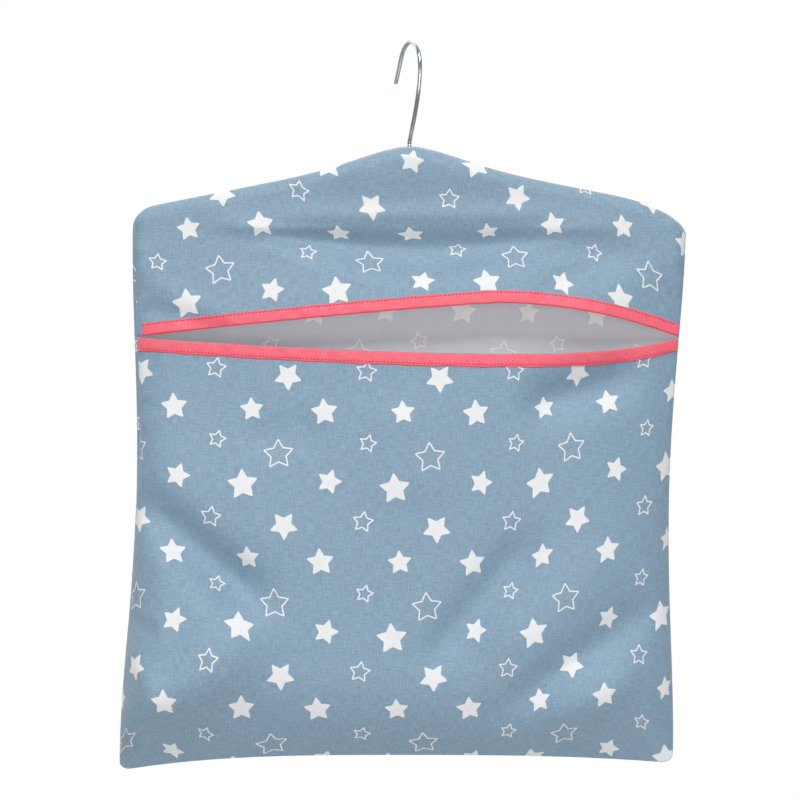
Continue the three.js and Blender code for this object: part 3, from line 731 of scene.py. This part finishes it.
def stitch_shape(length):
    """One stitch as (along, aside, up): a tube whose middle line is a low arch with its ends sunk."""
    t = np.linspace(-1, 1, STITCH_RINGS)
    radius = THREAD_RADIUS * np.sqrt(np.maximum(1 - t**4, STITCH_END))
    angle = np.arange(STITCH_SIDES) * 2 * np.pi / STITCH_SIDES
    along = np.repeat(t * length / 2, STITCH_SIDES)
    aside = (radius[:, None] * np.cos(angle)).ravel()
    up = (STITCH_LIFT - STITCH_SINK * t[:, None] ** 4 + radius[:, None] * np.sin(angle)).ravel()
    return np.stack([along, aside, up], axis=-1)


def stitch_quads():
    """Faces of one stitch: the rings joined round the tube, and both ends closed by two quads each."""
    start = np.arange(STITCH_RINGS - 1)[:, None] * STITCH_SIDES + np.arange(STITCH_SIDES)
    after = np.roll(start, -1, axis=1)
    wall = np.stack([start, after, after + STITCH_SIDES, start + STITCH_SIDES], axis=-1).reshape(-1, 4)
    cap = np.array([[0, 1, 2, 3], [0, 3, 4, 5]])
    return np.concatenate([wall, cap[:, ::-1], (STITCH_RINGS - 1) * STITCH_SIDES + cap])


def stitch_row(name, spots, normals, length, slant=0.0):
    """A row of stitches at the given spots: each copy is turned to the row's direction and the normal."""
    along = unit(np.gradient(spots, axis=0))
    aside = unit(np.cross(normals, along))
    up = unit(np.cross(along, aside))
    turned = unit(along + slant * aside)
    frames = np.stack([turned, unit(np.cross(up, turned)), up], axis=1)
    shape = stitch_shape(length)
    points = spots[:, None, :] + shape @ frames
    quads = stitch_quads()[None] + (np.arange(len(spots)) * len(shape))[:, None, None]
    return mesh_object(name, points.reshape(-1, 3), quads.reshape(-1, 4))


print("faces of one stitch:", len(stitch_quads()))

# %% Stitches of the tapes and of the gap round the hook
TAPE_STITCH, TAPE_SLANT = 2.0, 0.12
STITCH_MARGIN, STITCH_SETTLE = 3.0, 0.6
SEAM_STITCH = 2.1
SLOT_LENGTH, SLOT_HEM = 28.0, 1.7


def stitch_places(length):
    """Values of u a stitch apart, over a length centred on the middle of the bag."""
    count = int(length / STITCH_PITCH)
    return (np.arange(count) - (count - 1) / 2) * STITCH_PITCH / HALF_WIDTH


def tape_stitches(name, surface):
    """Stitches along the inner edge of a tape, sunk into its dimples."""
    u = stitch_places(2 * (HALF_WIDTH - TAPE_END - STITCH_MARGIN))
    here, normal, _ = lip_point(surface, u, TAPE_WIDTH - STITCH_INSET - EDGE_TO_FOLD + 0 * u)
    spots = here + normal * (TAPE - STITCH_DIP * STITCH_SETTLE)
    return stitch_row(name, spots, normal, TAPE_STITCH, TAPE_SLANT)


def slot_stitches(name, surface):
    """Stitches in the hem of the gap that the hook comes out of, on the side of the cloth that faces up."""
    u = stitch_places(SLOT_LENGTH)
    here = surface(u, SLOT_HEM + 0 * u)
    step = surface(u, SLOT_HEM + NEAR + 0 * u) - here
    normal = unit(np.cross(np.gradient(here, axis=0), step))
    normal = np.where(normal[..., 2:3] < 0, -normal, normal)
    return stitch_row(name, here, normal, SEAM_STITCH)


yoke_stitches = tape_stitches("yoke_tape_stitches", yoke_edge)
pocket_stitches = tape_stitches("pocket_tape_stitches", pocket_surface)
slot_front = slot_stitches("slot_stitches_front", yoke_surface)
slot_back = slot_stitches("slot_stitches_back", back_surface)
print("stitches in the gap round the hook:", len(stitch_places(SLOT_LENGTH)), "on either side")

# %% Seam stitches
SEAM_INSET = 1.1
LONG_SEAM, SHOULDER_SEAM = 142, 66
SEAM_END, SLOT_CLEAR = 0.97, 0.012
SIDE_TOP, SIDE_LOW = 6.0, 8.0


def seam_stitches(name, spots, inwards):
    """Stitches inside a seam, just behind the meeting edges of the cloth, facing the front."""
    normal = np.broadcast_to([0.0, -1.0, 0.0], spots.shape)
    return stitch_row(name, spots + SEAM_INSET * np.array(inwards), normal, SEAM_STITCH)


def seam_line(u, z):
    """Points of the seam between front and back, at the edge of the outline."""
    inwards, forwards = left_seam(u, z)
    return np.stack(np.broadcast_arrays(across(u, z) + inwards, -forwards, z), axis=-1)


shoulder_u = np.linspace(SLOT_LENGTH / 2 / HALF_WIDTH + SLOT_CLEAR, SEAM_END, SHOULDER_SEAM)
hem_u = np.linspace(-SEAM_END, SEAM_END, LONG_SEAM)
seams = {}
for side, word in ((-1.0, "left"), (1.0, "right")):
    z = np.linspace(shoulder_z(side) - SIDE_TOP, hem_z(side) + SIDE_LOW, LONG_SEAM)
    spots = seam_line(np.full(z.shape, side), z)
    seams["side_seam_" + word] = seam_stitches("side_stitches_" + word, spots, (-side, 0, 0))
    spots = seam_line(side * shoulder_u, shoulder_z(side * shoulder_u))
    seams["shoulder_seam_" + word] = seam_stitches("shoulder_stitches_" + word, spots, (0, 0, -1))
seams["hem_seam"] = seam_stitches("hem_stitches", seam_line(hem_u, hem_z(hem_u)), (0, 0, 1))
print("seams sewn:", list(seams))

# %% [markdown]
# ## The wire hook
# The hook is one plated wire: a straight shank through the bar, a spine that leans out, a crook and a
# straight tail. A curve object with a bevel gives an even tube. Here the tube is worked out ring by ring
# instead, because the stop collar and the peened head on the shank are then only changes of the radius, and
# the hook stays one piece as the real one is.

# %% Shank with its collar and its head
SEAT_GAP, BORE_DEPTH, WASHER_THICKNESS = 0.3, 24.0, 1.0
BAR_TOP_Z = PEAK_Z - CLOTH - 3 * SEAT_GAP
COLLAR_Z = BAR_TOP_Z + SEAT_GAP
RIVET_TOP = BAR_TOP_Z - BORE_DEPTH - WASHER_THICKNESS - 2 * SEAT_GAP
WIRE_RADIUS = 1.5
COLLAR_HEIGHT, COLLAR_RADIUS = 1.4, 2.7
RIVET_HEIGHT, RIVET_RADIUS = 2.2, 3.2
SHELF, BEVEL, BEVEL_HEIGHT = 0.05, 0.2, 0.25
NECK_LIFT, NECK_END = 3.0, 0.5
HEAD_STEPS = 8

head_turn = np.linspace(0, np.pi / 2, HEAD_STEPS)
head_z = RIVET_TOP - RIVET_HEIGHT * np.cos(head_turn)
head_r = RIVET_RADIUS * np.sin(head_turn)
shank_z = np.array([RIVET_TOP, RIVET_TOP + SHELF, COLLAR_Z, COLLAR_Z + SHELF])
shank_r = np.array([WIRE_RADIUS, WIRE_RADIUS, WIRE_RADIUS, COLLAR_RADIUS - BEVEL])
collar_top = COLLAR_Z + COLLAR_HEIGHT
collar_z = np.array([COLLAR_Z + BEVEL_HEIGHT, collar_top - BEVEL_HEIGHT, collar_top - SHELF, collar_top])
collar_r = np.array([COLLAR_RADIUS, COLLAR_RADIUS, COLLAR_RADIUS - BEVEL, WIRE_RADIUS])
neck_z = collar_top + NECK_LIFT
straight_z = np.concatenate([head_z, shank_z, collar_z, [neck_z - NECK_END]])
straight = np.stack([0 * straight_z, straight_z], axis=-1)
print("the shank is", np.ptp(straight_z), "mm long")

# %% Spine, crook and tail
CROOK_RADIUS, CROOK_TAIL = 19.5, 17.0
CROOK_SWEEP = np.radians(147.0)
NECK_BEND, SPINE_BEND = 4.0, 22.0
SPINE_STEPS, CROOK_STEPS, TAIL_STEPS, TIP_STEPS = 40, 64, 12, 7

crown_z = WIRE_RADIUS - CROOK_RADIUS
t = np.linspace(0, 1, SPINE_STEPS)[:, None]
spine = (
    (1 - t) ** 3 * np.array([0, neck_z])
    + 3 * (1 - t) ** 2 * t * np.array([0, neck_z + NECK_BEND])
    + 3 * (1 - t) * t**2 * np.array([CROOK_RADIUS, crown_z - SPINE_BEND])
    + t**3 * np.array([CROOK_RADIUS, crown_z])
)
sweep = np.linspace(0, CROOK_SWEEP, CROOK_STEPS)[1:]
crook = np.stack([CROOK_RADIUS * np.cos(sweep), crown_z + CROOK_RADIUS * np.sin(sweep)], axis=-1)
tip_turn = np.linspace(0, np.pi / 2, TIP_STEPS)[1:]
tip_way = np.array([-np.sin(CROOK_SWEEP), np.cos(CROOK_SWEEP)])
tail = crook[-1] + np.linspace(0, CROOK_TAIL, TAIL_STEPS)[1:, None] * tip_way
tip = tail[-1] + WIRE_RADIUS * np.sin(tip_turn)[:, None] * tip_way
print("the crook ends at", tip[-1])

# %% Tube of the hook
WIRE_SIDES = 20
HOOK_TURN = np.radians(-69.0)


def wire_tube(name, path, radius, side):
    """A tube along a flat path: each ring lies in the path's normal and the given side direction."""
    tangent = unit(np.gradient(path, axis=0))
    normal = np.cross(side, tangent)
    angle = np.arange(WIRE_SIDES) * 2 * np.pi / WIRE_SIDES
    ring = normal[:, None] * np.cos(angle)[:, None] + side * np.sin(angle)[:, None]
    points = path[:, None] + radius[:, None, None] * ring
    quads = grid_quads(len(path), WIRE_SIDES + 1, flip=True)
    row, column = quads // (WIRE_SIDES + 1), quads % (WIRE_SIDES + 1) % WIRE_SIDES
    return mesh_object(name, points.reshape(-1, 3), row * WIRE_SIDES + column)


line = np.concatenate([straight, spine, crook, tail, tip])
plain = np.full(1 + len(spine) + len(crook) + len(tail), WIRE_RADIUS)
radius = np.concatenate([head_r, shank_r, collar_r, plain, WIRE_RADIUS * np.cos(tip_turn)])
lean = np.array([np.cos(HOOK_TURN), np.sin(HOOK_TURN), 0])
path = line[:, :1] * lean + line[:, 1:] * np.array([0, 0, 1.0])
hook_wire = weld(wire_tube("hook_wire", path, radius, np.cross([0, 0, 1.0], lean)))
print("hook faces", len(hook_wire.data.polygons), "top", max(v.co.z for v in hook_wire.data.vertices))

# %% [markdown]
# ## Building shaders from Python
# A material is a graph of nodes. Written out node by node it is hard to read, so a small helper takes
# numbers or sockets and returns the socket of the new node. Formulas then read like formulas.


# %% Node helpers
class Graph:
    """Adds nodes to a tree. Every input may be a plain value or another node's socket."""

    def __init__(self, tree):
        self.tree = tree

    def feed(self, socket, value):
        """Links a socket to another one, or sets it to a plain value."""
        if isinstance(value, bpy.types.NodeSocket):
            self.tree.links.new(value, socket)
        else:
            socket.default_value = value

    def node(self, kind, inputs=None, **settings):
        """A new node with its settings made and its named inputs fed."""
        made = self.tree.nodes.new(kind)
        for name, value in settings.items():
            setattr(made, name, value)
        for name, value in (inputs or {}).items():
            self.feed(made.inputs[name], value)
        return made

    def numbered(self, kind, values, **settings):
        """A new node whose inputs are fed in order."""
        made = self.node(kind, **settings)
        for socket, value in zip(made.inputs, values):
            self.feed(socket, value)
        return made

    def math(self, operation, *values):
        """One sum, product or other operation on numbers."""
        return self.numbered("ShaderNodeMath", values, operation=operation).outputs[0]

    def vector(self, operation, *values):
        """One operation on vectors. A length comes out as a number."""
        made = self.numbered("ShaderNodeVectorMath", values, operation=operation)
        return made.outputs["Value" if operation == "LENGTH" else "Vector"]

    def ramp(self, value, start, stop, low=0.0, high=1.0):
        """Smooth step from low at start to high at stop."""
        inputs = {"Value": value, "From Min": start, "From Max": stop, "To Min": low, "To Max": high}
        return self.node("ShaderNodeMapRange", inputs, interpolation_type="SMOOTHSTEP").outputs["Result"]

    def mix(self, factor, a, b):
        """The colour a share of the way from a to b."""
        made = self.node("ShaderNodeMix", data_type="RGBA")
        for number, value in ((0, factor), (6, a), (7, b)):
            self.feed(made.inputs[number], value)
        return made.outputs[2]

    def noise(self, vector, scale, detail=2.0):
        """Cloudy noise from 0 to 1 at a place that is first scaled along each axis."""
        inputs = {"Vector": self.vector("MULTIPLY", vector, scale), "Scale": 1.0, "Detail": detail}
        return self.node("ShaderNodeTexNoise", inputs).outputs["Fac"]


print("node helpers:", [name for name in vars(Graph) if not name.startswith("_")])


# %% Colours, groups and materials
def linear(red, green, blue):
    """A screen colour from 0 to 255 as the linear colour that shaders work with, by the sRGB curve."""
    screen = np.array([red, green, blue]) / 255
    light = np.where(screen <= 0.04045, screen / 12.92, ((screen + 0.055) / 1.055) ** 2.4)
    return (*light.tolist(), 1.0)


def shader_group(name, inputs, outputs):
    """An empty node group with the named inputs and outputs, each with its kind of socket."""
    tree = bpy.data.node_groups.new(name, "ShaderNodeTree")
    for way, sockets in (("INPUT", inputs), ("OUTPUT", outputs)):
        for label, kind in sockets.items():
            tree.interface.new_socket(label, in_out=way, socket_type=kind)
    graph = Graph(tree)
    return graph, graph.node("NodeGroupInput").outputs, graph.node("NodeGroupOutput").inputs


# The finishes made here, by name. The CAD meshes bring plain ones of the same names.
finishes = {}


def material(name, **constants):
    """A new finish with a Principled shader: constants are set on the shader's own sockets."""
    finishes[name] = made = bpy.data.materials.new(name)
    made.use_nodes = True
    shader = made.node_tree.nodes["Principled BSDF"]
    for label, value in constants.items():
        shader.inputs[label.replace("_", " ")].default_value = value
    return made, Graph(made.node_tree), shader


print("middle grey of a screen in linear light:", linear(128, 128, 128)[0])

# %% [markdown]
# ## One printed star
# The print could be an image, but a formula stays sharp at any distance. A five-pointed star is one edge
# line repeated ten times: the angle is folded into a tenth of a turn, and the distance to that line says
# inside or outside. Wrapping the position first repeats the star over the whole cloth. An outline is a thin
# band.

# %% Star group
FLOAT, VECTOR = "NodeSocketFloat", "NodeSocketVector"
PRINT_REPEAT = (101.5 * MM, 100.2 * MM)
INNER_SHARE = 0.52
TIP_SHARE, TIP_SOFT = 0.94, 0.12
PRINT_BLUR = 0.22 * MM
half_point = np.pi / 5
edge = np.array([INNER_SHARE * np.sin(half_point), 1 - INNER_SHARE * np.cos(half_point)])
edge_ahead, edge_aside = (edge / np.hypot(*edge)).tolist()

star_inputs = {"Cloth": VECTOR, "Centre": VECTOR, "Radius": FLOAT, "Turn": FLOAT, "Line": FLOAT}
g, given, out = shader_group("printed star", star_inputs, {"Mask": FLOAT})
offset = g.vector("SUBTRACT", given["Cloth"], given["Centre"])
half = (PRINT_REPEAT[0] / 2, PRINT_REPEAT[1] / 2, 1.0)
offset = g.vector("WRAP", offset, half, tuple(-h for h in half))
turn = {"Vector": offset, "Angle": given["Turn"]}
offset = g.node("ShaderNodeVectorRotate", turn, rotation_type="Z_AXIS").outputs["Vector"]
place = g.node("ShaderNodeSeparateXYZ", {"Vector": offset}).outputs
angle = g.math("PINGPONG", g.math("ARCTAN2", place["X"], place["Y"]), float(half_point))
reach = g.math("DIVIDE", g.vector("LENGTH", offset), given["Radius"])
ahead = g.math("SUBTRACT", g.math("MULTIPLY", reach, g.math("COSINE", angle)), 1.0)
aside = g.math("MULTIPLY", reach, g.math("SINE", angle))
line_distance = g.math("MULTIPLY_ADD", ahead, edge_ahead, g.math("MULTIPLY", aside, edge_aside))
rounded = g.math("SMOOTH_MAX", line_distance, g.math("SUBTRACT", reach, TIP_SHARE), TIP_SOFT)
distance = g.math("MULTIPLY", rounded, given["Radius"])
band = g.math("MULTIPLY", g.math("ADD", distance, given["Line"]), -1.0)
g.feed(out["Mask"], g.ramp(g.math("MAXIMUM", distance, band), PRINT_BLUR, -PRINT_BLUR))
star_group = g.tree
print("nodes in one star:", len(star_group.nodes))

# %% [markdown]
# ## The star print
# Eight stars make one repeat: five solid and three outlined. Their places and turns are read off the cloth,
# in millimetres from the largest solid star. The brightest of the eight masks is the print.

# %% Print group
SOLID = 1.0
LINE = 0.9 * MM
# Each star: its place, its radius, its turn in degrees and the width of its line.
STARS = (
    ((0.0, 0.0), 11.1, -6, SOLID),
    ((-43.8, 4.0), 9.0, 16, SOLID),
    ((28.3, -26.7), 10.1, 33, SOLID),
    ((-20.7, -22.4), 7.9, 8, LINE),
    ((4.3, -49.4), 8.7, -5, SOLID),
    ((-48.4, -49.8), 9.9, -7, SOLID),
    ((-18.7, -70.3), 6.8, 13, LINE),
    ((23.0, -79.2), 11.2, -5, LINE),
)
g, given, out = shader_group("star print", {"Cloth": VECTOR}, {"Mask": FLOAT})
brightest = 0.0
for (right, up), size, degrees, line_width in STARS:
    inputs = {
        "Cloth": given["Cloth"],
        "Centre": (right * MM, up * MM, 0.0),
        "Radius": size * MM,
        "Turn": float(np.radians(degrees)),
        "Line": line_width,
    }
    star = g.node("ShaderNodeGroup", inputs, node_tree=star_group)
    brightest = g.math("MAXIMUM", star.outputs["Mask"], brightest)
g.feed(out["Mask"], brightest)
print_group = g.tree
print("stars in one repeat:", len(STARS))

# %% [markdown]
# ## Weave
# Close to, the cotton shows threads that cross over and under each other. Two sine waves multiplied give
# that chequer of crossings. Noise stretched along each thread gives the slubs. A displaced mesh would need
# millions of points for it, so it only tilts the normal and paints shade into the colour where the weave is
# low. Cotton and tape share it.

# %% Weave group
THREAD_PAIR = 1.55 * MM
WARP_SLUBS, WEFT_SLUBS = (1300.0, 160.0, 1.0), (150.0, 1300.0, 1.0)
CROSSING_HEIGHT, CROSSING_SHADE, SLUB_SHADE = 0.6, 0.45, 0.6
BUMP_DEPTH = 0.25 * MM

g, given, out = shader_group("cotton weave", {"Cloth": VECTOR}, {"Height": FLOAT, "Shade": FLOAT})
place = g.node("ShaderNodeSeparateXYZ", {"Vector": given["Cloth"]}).outputs
frequency = float(2 * np.pi / THREAD_PAIR)
warp, weft = (g.math("SINE", g.math("MULTIPLY", place[axis], frequency)) for axis in "XY")
crossing = g.math("MULTIPLY", warp, weft)
slubs = g.math("ADD", g.noise(given["Cloth"], WARP_SLUBS), g.noise(given["Cloth"], WEFT_SLUBS))
g.feed(out["Height"], g.math("MULTIPLY_ADD", crossing, CROSSING_HEIGHT, slubs))
# Painted shade: the colour is darker where the weave's height is lower.
uneven = g.math("MULTIPLY", g.math("SUBTRACT", slubs, 1.0), SLUB_SHADE)
g.feed(out["Shade"], g.math("MULTIPLY_ADD", crossing, CROSSING_SHADE, uneven))
weave_group = g.tree


def woven(g, shader, strength):
    """Puts the weave's bumps on a material. Returns the cloth's coordinates and a painted shade around a
    half.
    """
    cloth = g.node("ShaderNodeUVMap", uv_map="cloth").outputs["UV"]
    weave = g.node("ShaderNodeGroup", {"Cloth": cloth}, node_tree=weave_group).outputs
    bump = {"Height": weave["Height"], "Strength": strength, "Distance": BUMP_DEPTH}
    g.feed(shader.inputs["Normal"], g.node("ShaderNodeBump", bump).outputs["Normal"])
    return cloth, g.math("ADD", weave["Shade"], 0.5)


print("nodes in the weave:", len(weave_group.nodes))

# %% [markdown]
# ## Cotton, inside and out
# The face of the cloth is dusty blue with white stars. The weave mixes a light and a deep blue, the deep one
# in its low spots as painted shade, and a neutral shine on top greys it a little. Light also spreads inside
# the cloth. The wrong side is pale, with the print only shining through. A test for back faces could choose
# it, but a second material in the inner faces' own slot is plainer.

# %% Cotton materials
BLUE, BLUE_DEEP = linear(164, 190, 209), linear(79, 117, 143)
STAR_WHITE, STAR_GREY = linear(243, 243, 243), linear(226, 228, 230)
LINING, LINING_DEEP = linear(221, 224, 230), linear(210, 214, 220)
LINING_STAR, LINING_STAR_DEEP = linear(253, 254, 255), linear(250, 252, 255)
GLOW_DEPTH = 1.8 * MM


def cotton(name, ground, deep, star, star_deep, strength, glow):
    """Printed cotton: ground or star colour by the print's mask, each darker in the weave's low spots as
    painted shade.
    """
    made, g, shader = material(
        name,
        Roughness=0.6,
        Specular_IOR_Level=0.7,
        Sheen_Weight=0.1,
        Sheen_Roughness=0.5,
        Subsurface_Weight=glow,
        Subsurface_Radius=(1.0, 1.0, 1.0),
        Subsurface_Scale=GLOW_DEPTH,
    )
    cloth, shade = woven(g, shader, strength)
    stars = g.node("ShaderNodeGroup", {"Cloth": cloth}, node_tree=print_group).outputs["Mask"]
    # The deep colours fill the weave's low spots: painted shade.
    colour = g.mix(stars, g.mix(shade, deep, ground), g.mix(shade, star_deep, star))
    g.feed(shader.inputs["Base Color"], colour)
    return made


star_cotton = cotton("star_cotton", BLUE, BLUE_DEEP, STAR_WHITE, STAR_GREY, strength=0.5, glow=0.35)
lining_colours = (LINING, LINING_DEEP, LINING_STAR, LINING_STAR_DEEP)
lining = cotton("cotton_wrong_side", *lining_colours, strength=0.35, glow=1.0)
for piece in (yoke, pocket, back):
    piece.data.materials.append(star_cotton)
    piece.data.materials.append(lining)
print("slots of the back:", back.data.materials.keys())

# %% [markdown]
# ## Tape, thread, wire and wood
# The tape is coral cotton with a soft shine, and it shares the weave. Sewing thread is twisted, too fine to
# see here, so a plain colour does, and the coral thread's is deepened as painted shade of its stitch holes.
# The wire is bright plating with faint dull and bright streaks painted in its colour as painted reflections;
# its broad dark and bright bands are reflections of the room. The bar is beech with long grain under a thin
# lacquer.

# %% Tape and thread
CORAL, CORAL_DEEP = linear(250, 133, 149), linear(238, 65, 89)

_, g, shader = material("coral_tape", Roughness=0.55, Sheen_Weight=0.2, Sheen_Roughness=0.4)
shade = woven(g, shader, strength=0.5)[1]
# The deep coral fills the weave's low spots: painted shade.
g.feed(shader.inputs["Base Color"], g.mix(shade, CORAL_DEEP, CORAL))
# The coral thread's own colour, deepened as painted shade of its stitch holes.
material("coral_thread", Roughness=0.6, Base_Color=linear(205, 52, 80))
material("white_thread", Roughness=0.65, Base_Color=linear(232, 234, 236))
print("coral in linear light:", CORAL)

# %% Wire, washer and wood
PLATING, PLATING_PAINTED_DARK = linear(212, 216, 218), linear(168, 176, 178)
PAINTED_STREAKS, PAINTED_STREAK_EDGES = (40.0, 40.0, 70.0), (0.35, 0.65)
BEECH_PALE, BEECH_DARK = linear(226, 188, 140), linear(196, 150, 100)
GRAIN = (14.0, 220.0, 220.0)

_, g, shader = material("plated_wire", Roughness=0.22, Metallic=1.0)
where = g.node("ShaderNodeTexCoord").outputs["Object"]
# Painted reflections: dull and bright streaks in the plating's colour, beside the real reflections of the
# room.
painted_streak = g.ramp(g.noise(where, PAINTED_STREAKS, detail=0.0), *PAINTED_STREAK_EDGES)
g.feed(shader.inputs["Base Color"], g.mix(painted_streak, PLATING_PAINTED_DARK, PLATING))

material("washer_steel", Roughness=0.35, Metallic=1.0, Base_Color=linear(176, 178, 180))

_, g, shader = material("beech", Roughness=0.5, Coat_Weight=0.15)
where = g.node("ShaderNodeTexCoord").outputs["Object"]
g.feed(shader.inputs["Base Color"], g.mix(g.noise(where, GRAIN, detail=5.0), BEECH_DARK, BEECH_PALE))
print("finishes:", list(finishes))

# %% [markdown]
# ## Which piece stands for which solid
# Each dressed piece takes the place of one CAD solid and has one finish. The bar and the washer keep their
# CAD meshes, because the bag hides them and machined wood and steel are as plain as that. One table holds
# both facts, so that no piece is left without either.

# %% Finishes
stands_for = {
    "front_yoke": (yoke, "star_cotton"),
    "pocket_front": (pocket, "star_cotton"),
    "back_panel": (back, "star_cotton"),
    "yoke_binding": (yoke_tape, "coral_tape"),
    "pocket_binding": (pocket_tape, "coral_tape"),
    "yoke_binding_stitching": (yoke_stitches, "coral_thread"),
    "pocket_binding_stitching": (pocket_stitches, "coral_thread"),
    "slot_stitching_front": (slot_front, "white_thread"),
    "slot_stitching_back": (slot_back, "white_thread"),
    "hook": (hook_wire, "plated_wire"),
}
stands_for.update({node: (piece, "white_thread") for node, piece in seams.items()})
for piece, finish in stands_for.values():
    if not piece.data.materials:
        piece.data.materials.append(finishes[finish])
for node, finish in (("hanger_bar", "beech"), ("hook_washer", "washer_steel")):
    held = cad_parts[node].data.materials
    held.clear()
    held.append(finishes[finish])
print("dressed pieces", len(stands_for))

# %% [markdown]
# ## What moves with what
# The hook is still while the bag swivels under it. When the mouth is opened the pocket's lip bows forward
# but its sides stay sewn, so the pocket is meant to blend between the bag and a body of its own: not at all
# at the side seams, fully at the middle of the lip. Here only the weights of that blend are worked out, and
# their mean is printed.

# %% Blend weights of the pocket
OPENING_POWER = 1.3


def opens(piece):
    """Mean of the blend weights: nothing at the side seams, all of the turn in the middle, by a parabola to
    a power.
    """
    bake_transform(piece)
    points = np.empty(len(piece.data.vertices) * 3, dtype=np.float32)
    piece.data.vertices.foreach_get("co", points)
    x, _, z = points.reshape(-1, 3).T / MM
    t = share(SHOULDER_Z, HEM_Z, z)
    u = (x + HEM_DRIFT * t) / half_width(t)
    weight = np.clip(1 - u**2, 0, 1) ** OPENING_POWER
    return weight.mean()


for piece in (pocket, pocket_tape, pocket_stitches):
    print(piece.name, "mean weight", opens(piece))

# %% Bodies, and the CAD solids hidden
for piece in (yoke, back, yoke_tape, yoke_stitches, slot_front, slot_back, *seams.values()):
    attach(piece, "bag")
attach(hook_wire, "hook")

for node, (piece, finish) in stands_for.items():
    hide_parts(node)

# %% [markdown]
# ## Camera and floor
# The camera is the photograph's: straight on, at a distance that gives its small perspective. The bag hangs
# in the air, so the pale floor lies well below it. A floor close under the hem would throw light up into
# the folds and flatten them.

# %% Camera and floor
LENS, SENSOR, CLIP_START = 85.0, 36.0, 0.05
CAMERA_PLACE = np.array([-6.46, -1284.0, -241.7])
FLOOR_DROP, FLOOR_RADIUS, FLOOR_STEPS = 800.0, (1.0, 1100.0), 65

camera = bpy.data.objects.new("camera", bpy.data.cameras.new("camera"))
camera.data.lens = LENS
camera.data.sensor_width = SENSOR
camera.data.clip_start = CLIP_START
camera.location = CAMERA_PLACE * MM
camera.rotation_euler = (np.pi / 2, 0, 0)
bpy.context.scene.collection.objects.link(camera)
bpy.context.scene.camera = camera

ring = np.linspace(0, 2 * np.pi, FLOOR_STEPS)[:, None]
spread = np.array(FLOOR_RADIUS)[None, :]
level = np.full((FLOOR_STEPS, len(FLOOR_RADIUS)), HEM_Z - FLOOR_DROP)
disc = np.stack([spread * np.cos(ring), spread * np.sin(ring), level], axis=-1)
floor = weld(mesh_object("floor", disc.reshape(-1, 3), grid_quads(*disc.shape[:2], flip=True)))
floor.data.materials.append(material("floor_white", Roughness=0.9, Base_Color=linear(226, 226, 226))[0])
print("floor at", (HEM_Z - FLOOR_DROP) * MM, "m")

# %% [markdown]
# ## Light
# A large far lamp in front and above shades the folds and lights yoke and pocket evenly. A weak small one,
# low in front, reaches in under the upper lip. The white backdrop also lights from behind, more from above.
# The room in front is dim, and a mirror such as the wire sees it a little brighter. The camera sees plain
# white everywhere, so the white behind the bag comes from no extra light on the cloth.

# %% Lamps
# Each lamp: its name, its place and its side in metres, and its power in watts.
LAMPS = (
    ("key", (-0.3, -4.9, 4.48), 2.6, 396.0),
    ("fill", (0.1, -1.75, -0.45), 0.9, 9.0),
)


def softbox(name, place, size, power):
    """A square area lamp that faces the middle of the bag."""
    lamp = bpy.data.lights.new(name, "AREA")
    lamp.size = size
    lamp.energy = power
    stand = bpy.data.objects.new(name, lamp)
    stand.location = place
    away = np.array(place) - np.array([0, 0, (PEAK_Z + HEM_Z) / 2 * MM])
    tilt = np.arccos(away[2] / np.linalg.norm(away))
    stand.rotation_euler = (tilt, 0, np.arctan2(away[1], away[0]) + np.pi / 2)
    bpy.context.scene.collection.objects.link(stand)
    return np.linalg.norm(away)


for lamp in LAMPS:
    print(lamp[0], "stands", softbox(*lamp), "m away")

# %% Backdrop and room
BACKDROP_EDGE = (-0.1, 0.4)
BACKDROP_RISE = {"start": -0.6, "stop": 0.8, "low": 0.4, "high": 1.5}
ROOM_LIGHT, MIRRORED = 0.1, 0.3

world = bpy.data.worlds.new("studio")
world.use_nodes = True
bpy.context.scene.world = world
g = Graph(world.node_tree)
sky = world.node_tree.nodes["Background"]
ray = g.node("ShaderNodeLightPath").outputs
way = g.node("ShaderNodeTexCoord").outputs["Generated"]
looking = g.node("ShaderNodeSeparateXYZ", {"Vector": way}).outputs
behind = g.math("MULTIPLY", g.ramp(looking["Y"], *BACKDROP_EDGE), g.ramp(looking["Z"], **BACKDROP_RISE))
lit = g.math("MAXIMUM", g.math("MULTIPLY", ray["Is Glossy Ray"], MIRRORED), behind)
room = g.math("MULTIPLY_ADD", lit, 1 - ROOM_LIGHT, ROOM_LIGHT)
seen = g.math("MAXIMUM", ray["Is Camera Ray"], ray["Is Transmission Ray"])
g.feed(sky.inputs["Strength"], g.math("MULTIPLY_ADD", seen, g.math("SUBTRACT", 1.0, room), room))
sky.inputs["Color"].default_value = (1.0, 1.0, 1.0, 1.0)
bpy.context.scene.view_settings.view_transform = "Standard"
print("nodes of the world:", len(world.node_tree.nodes))
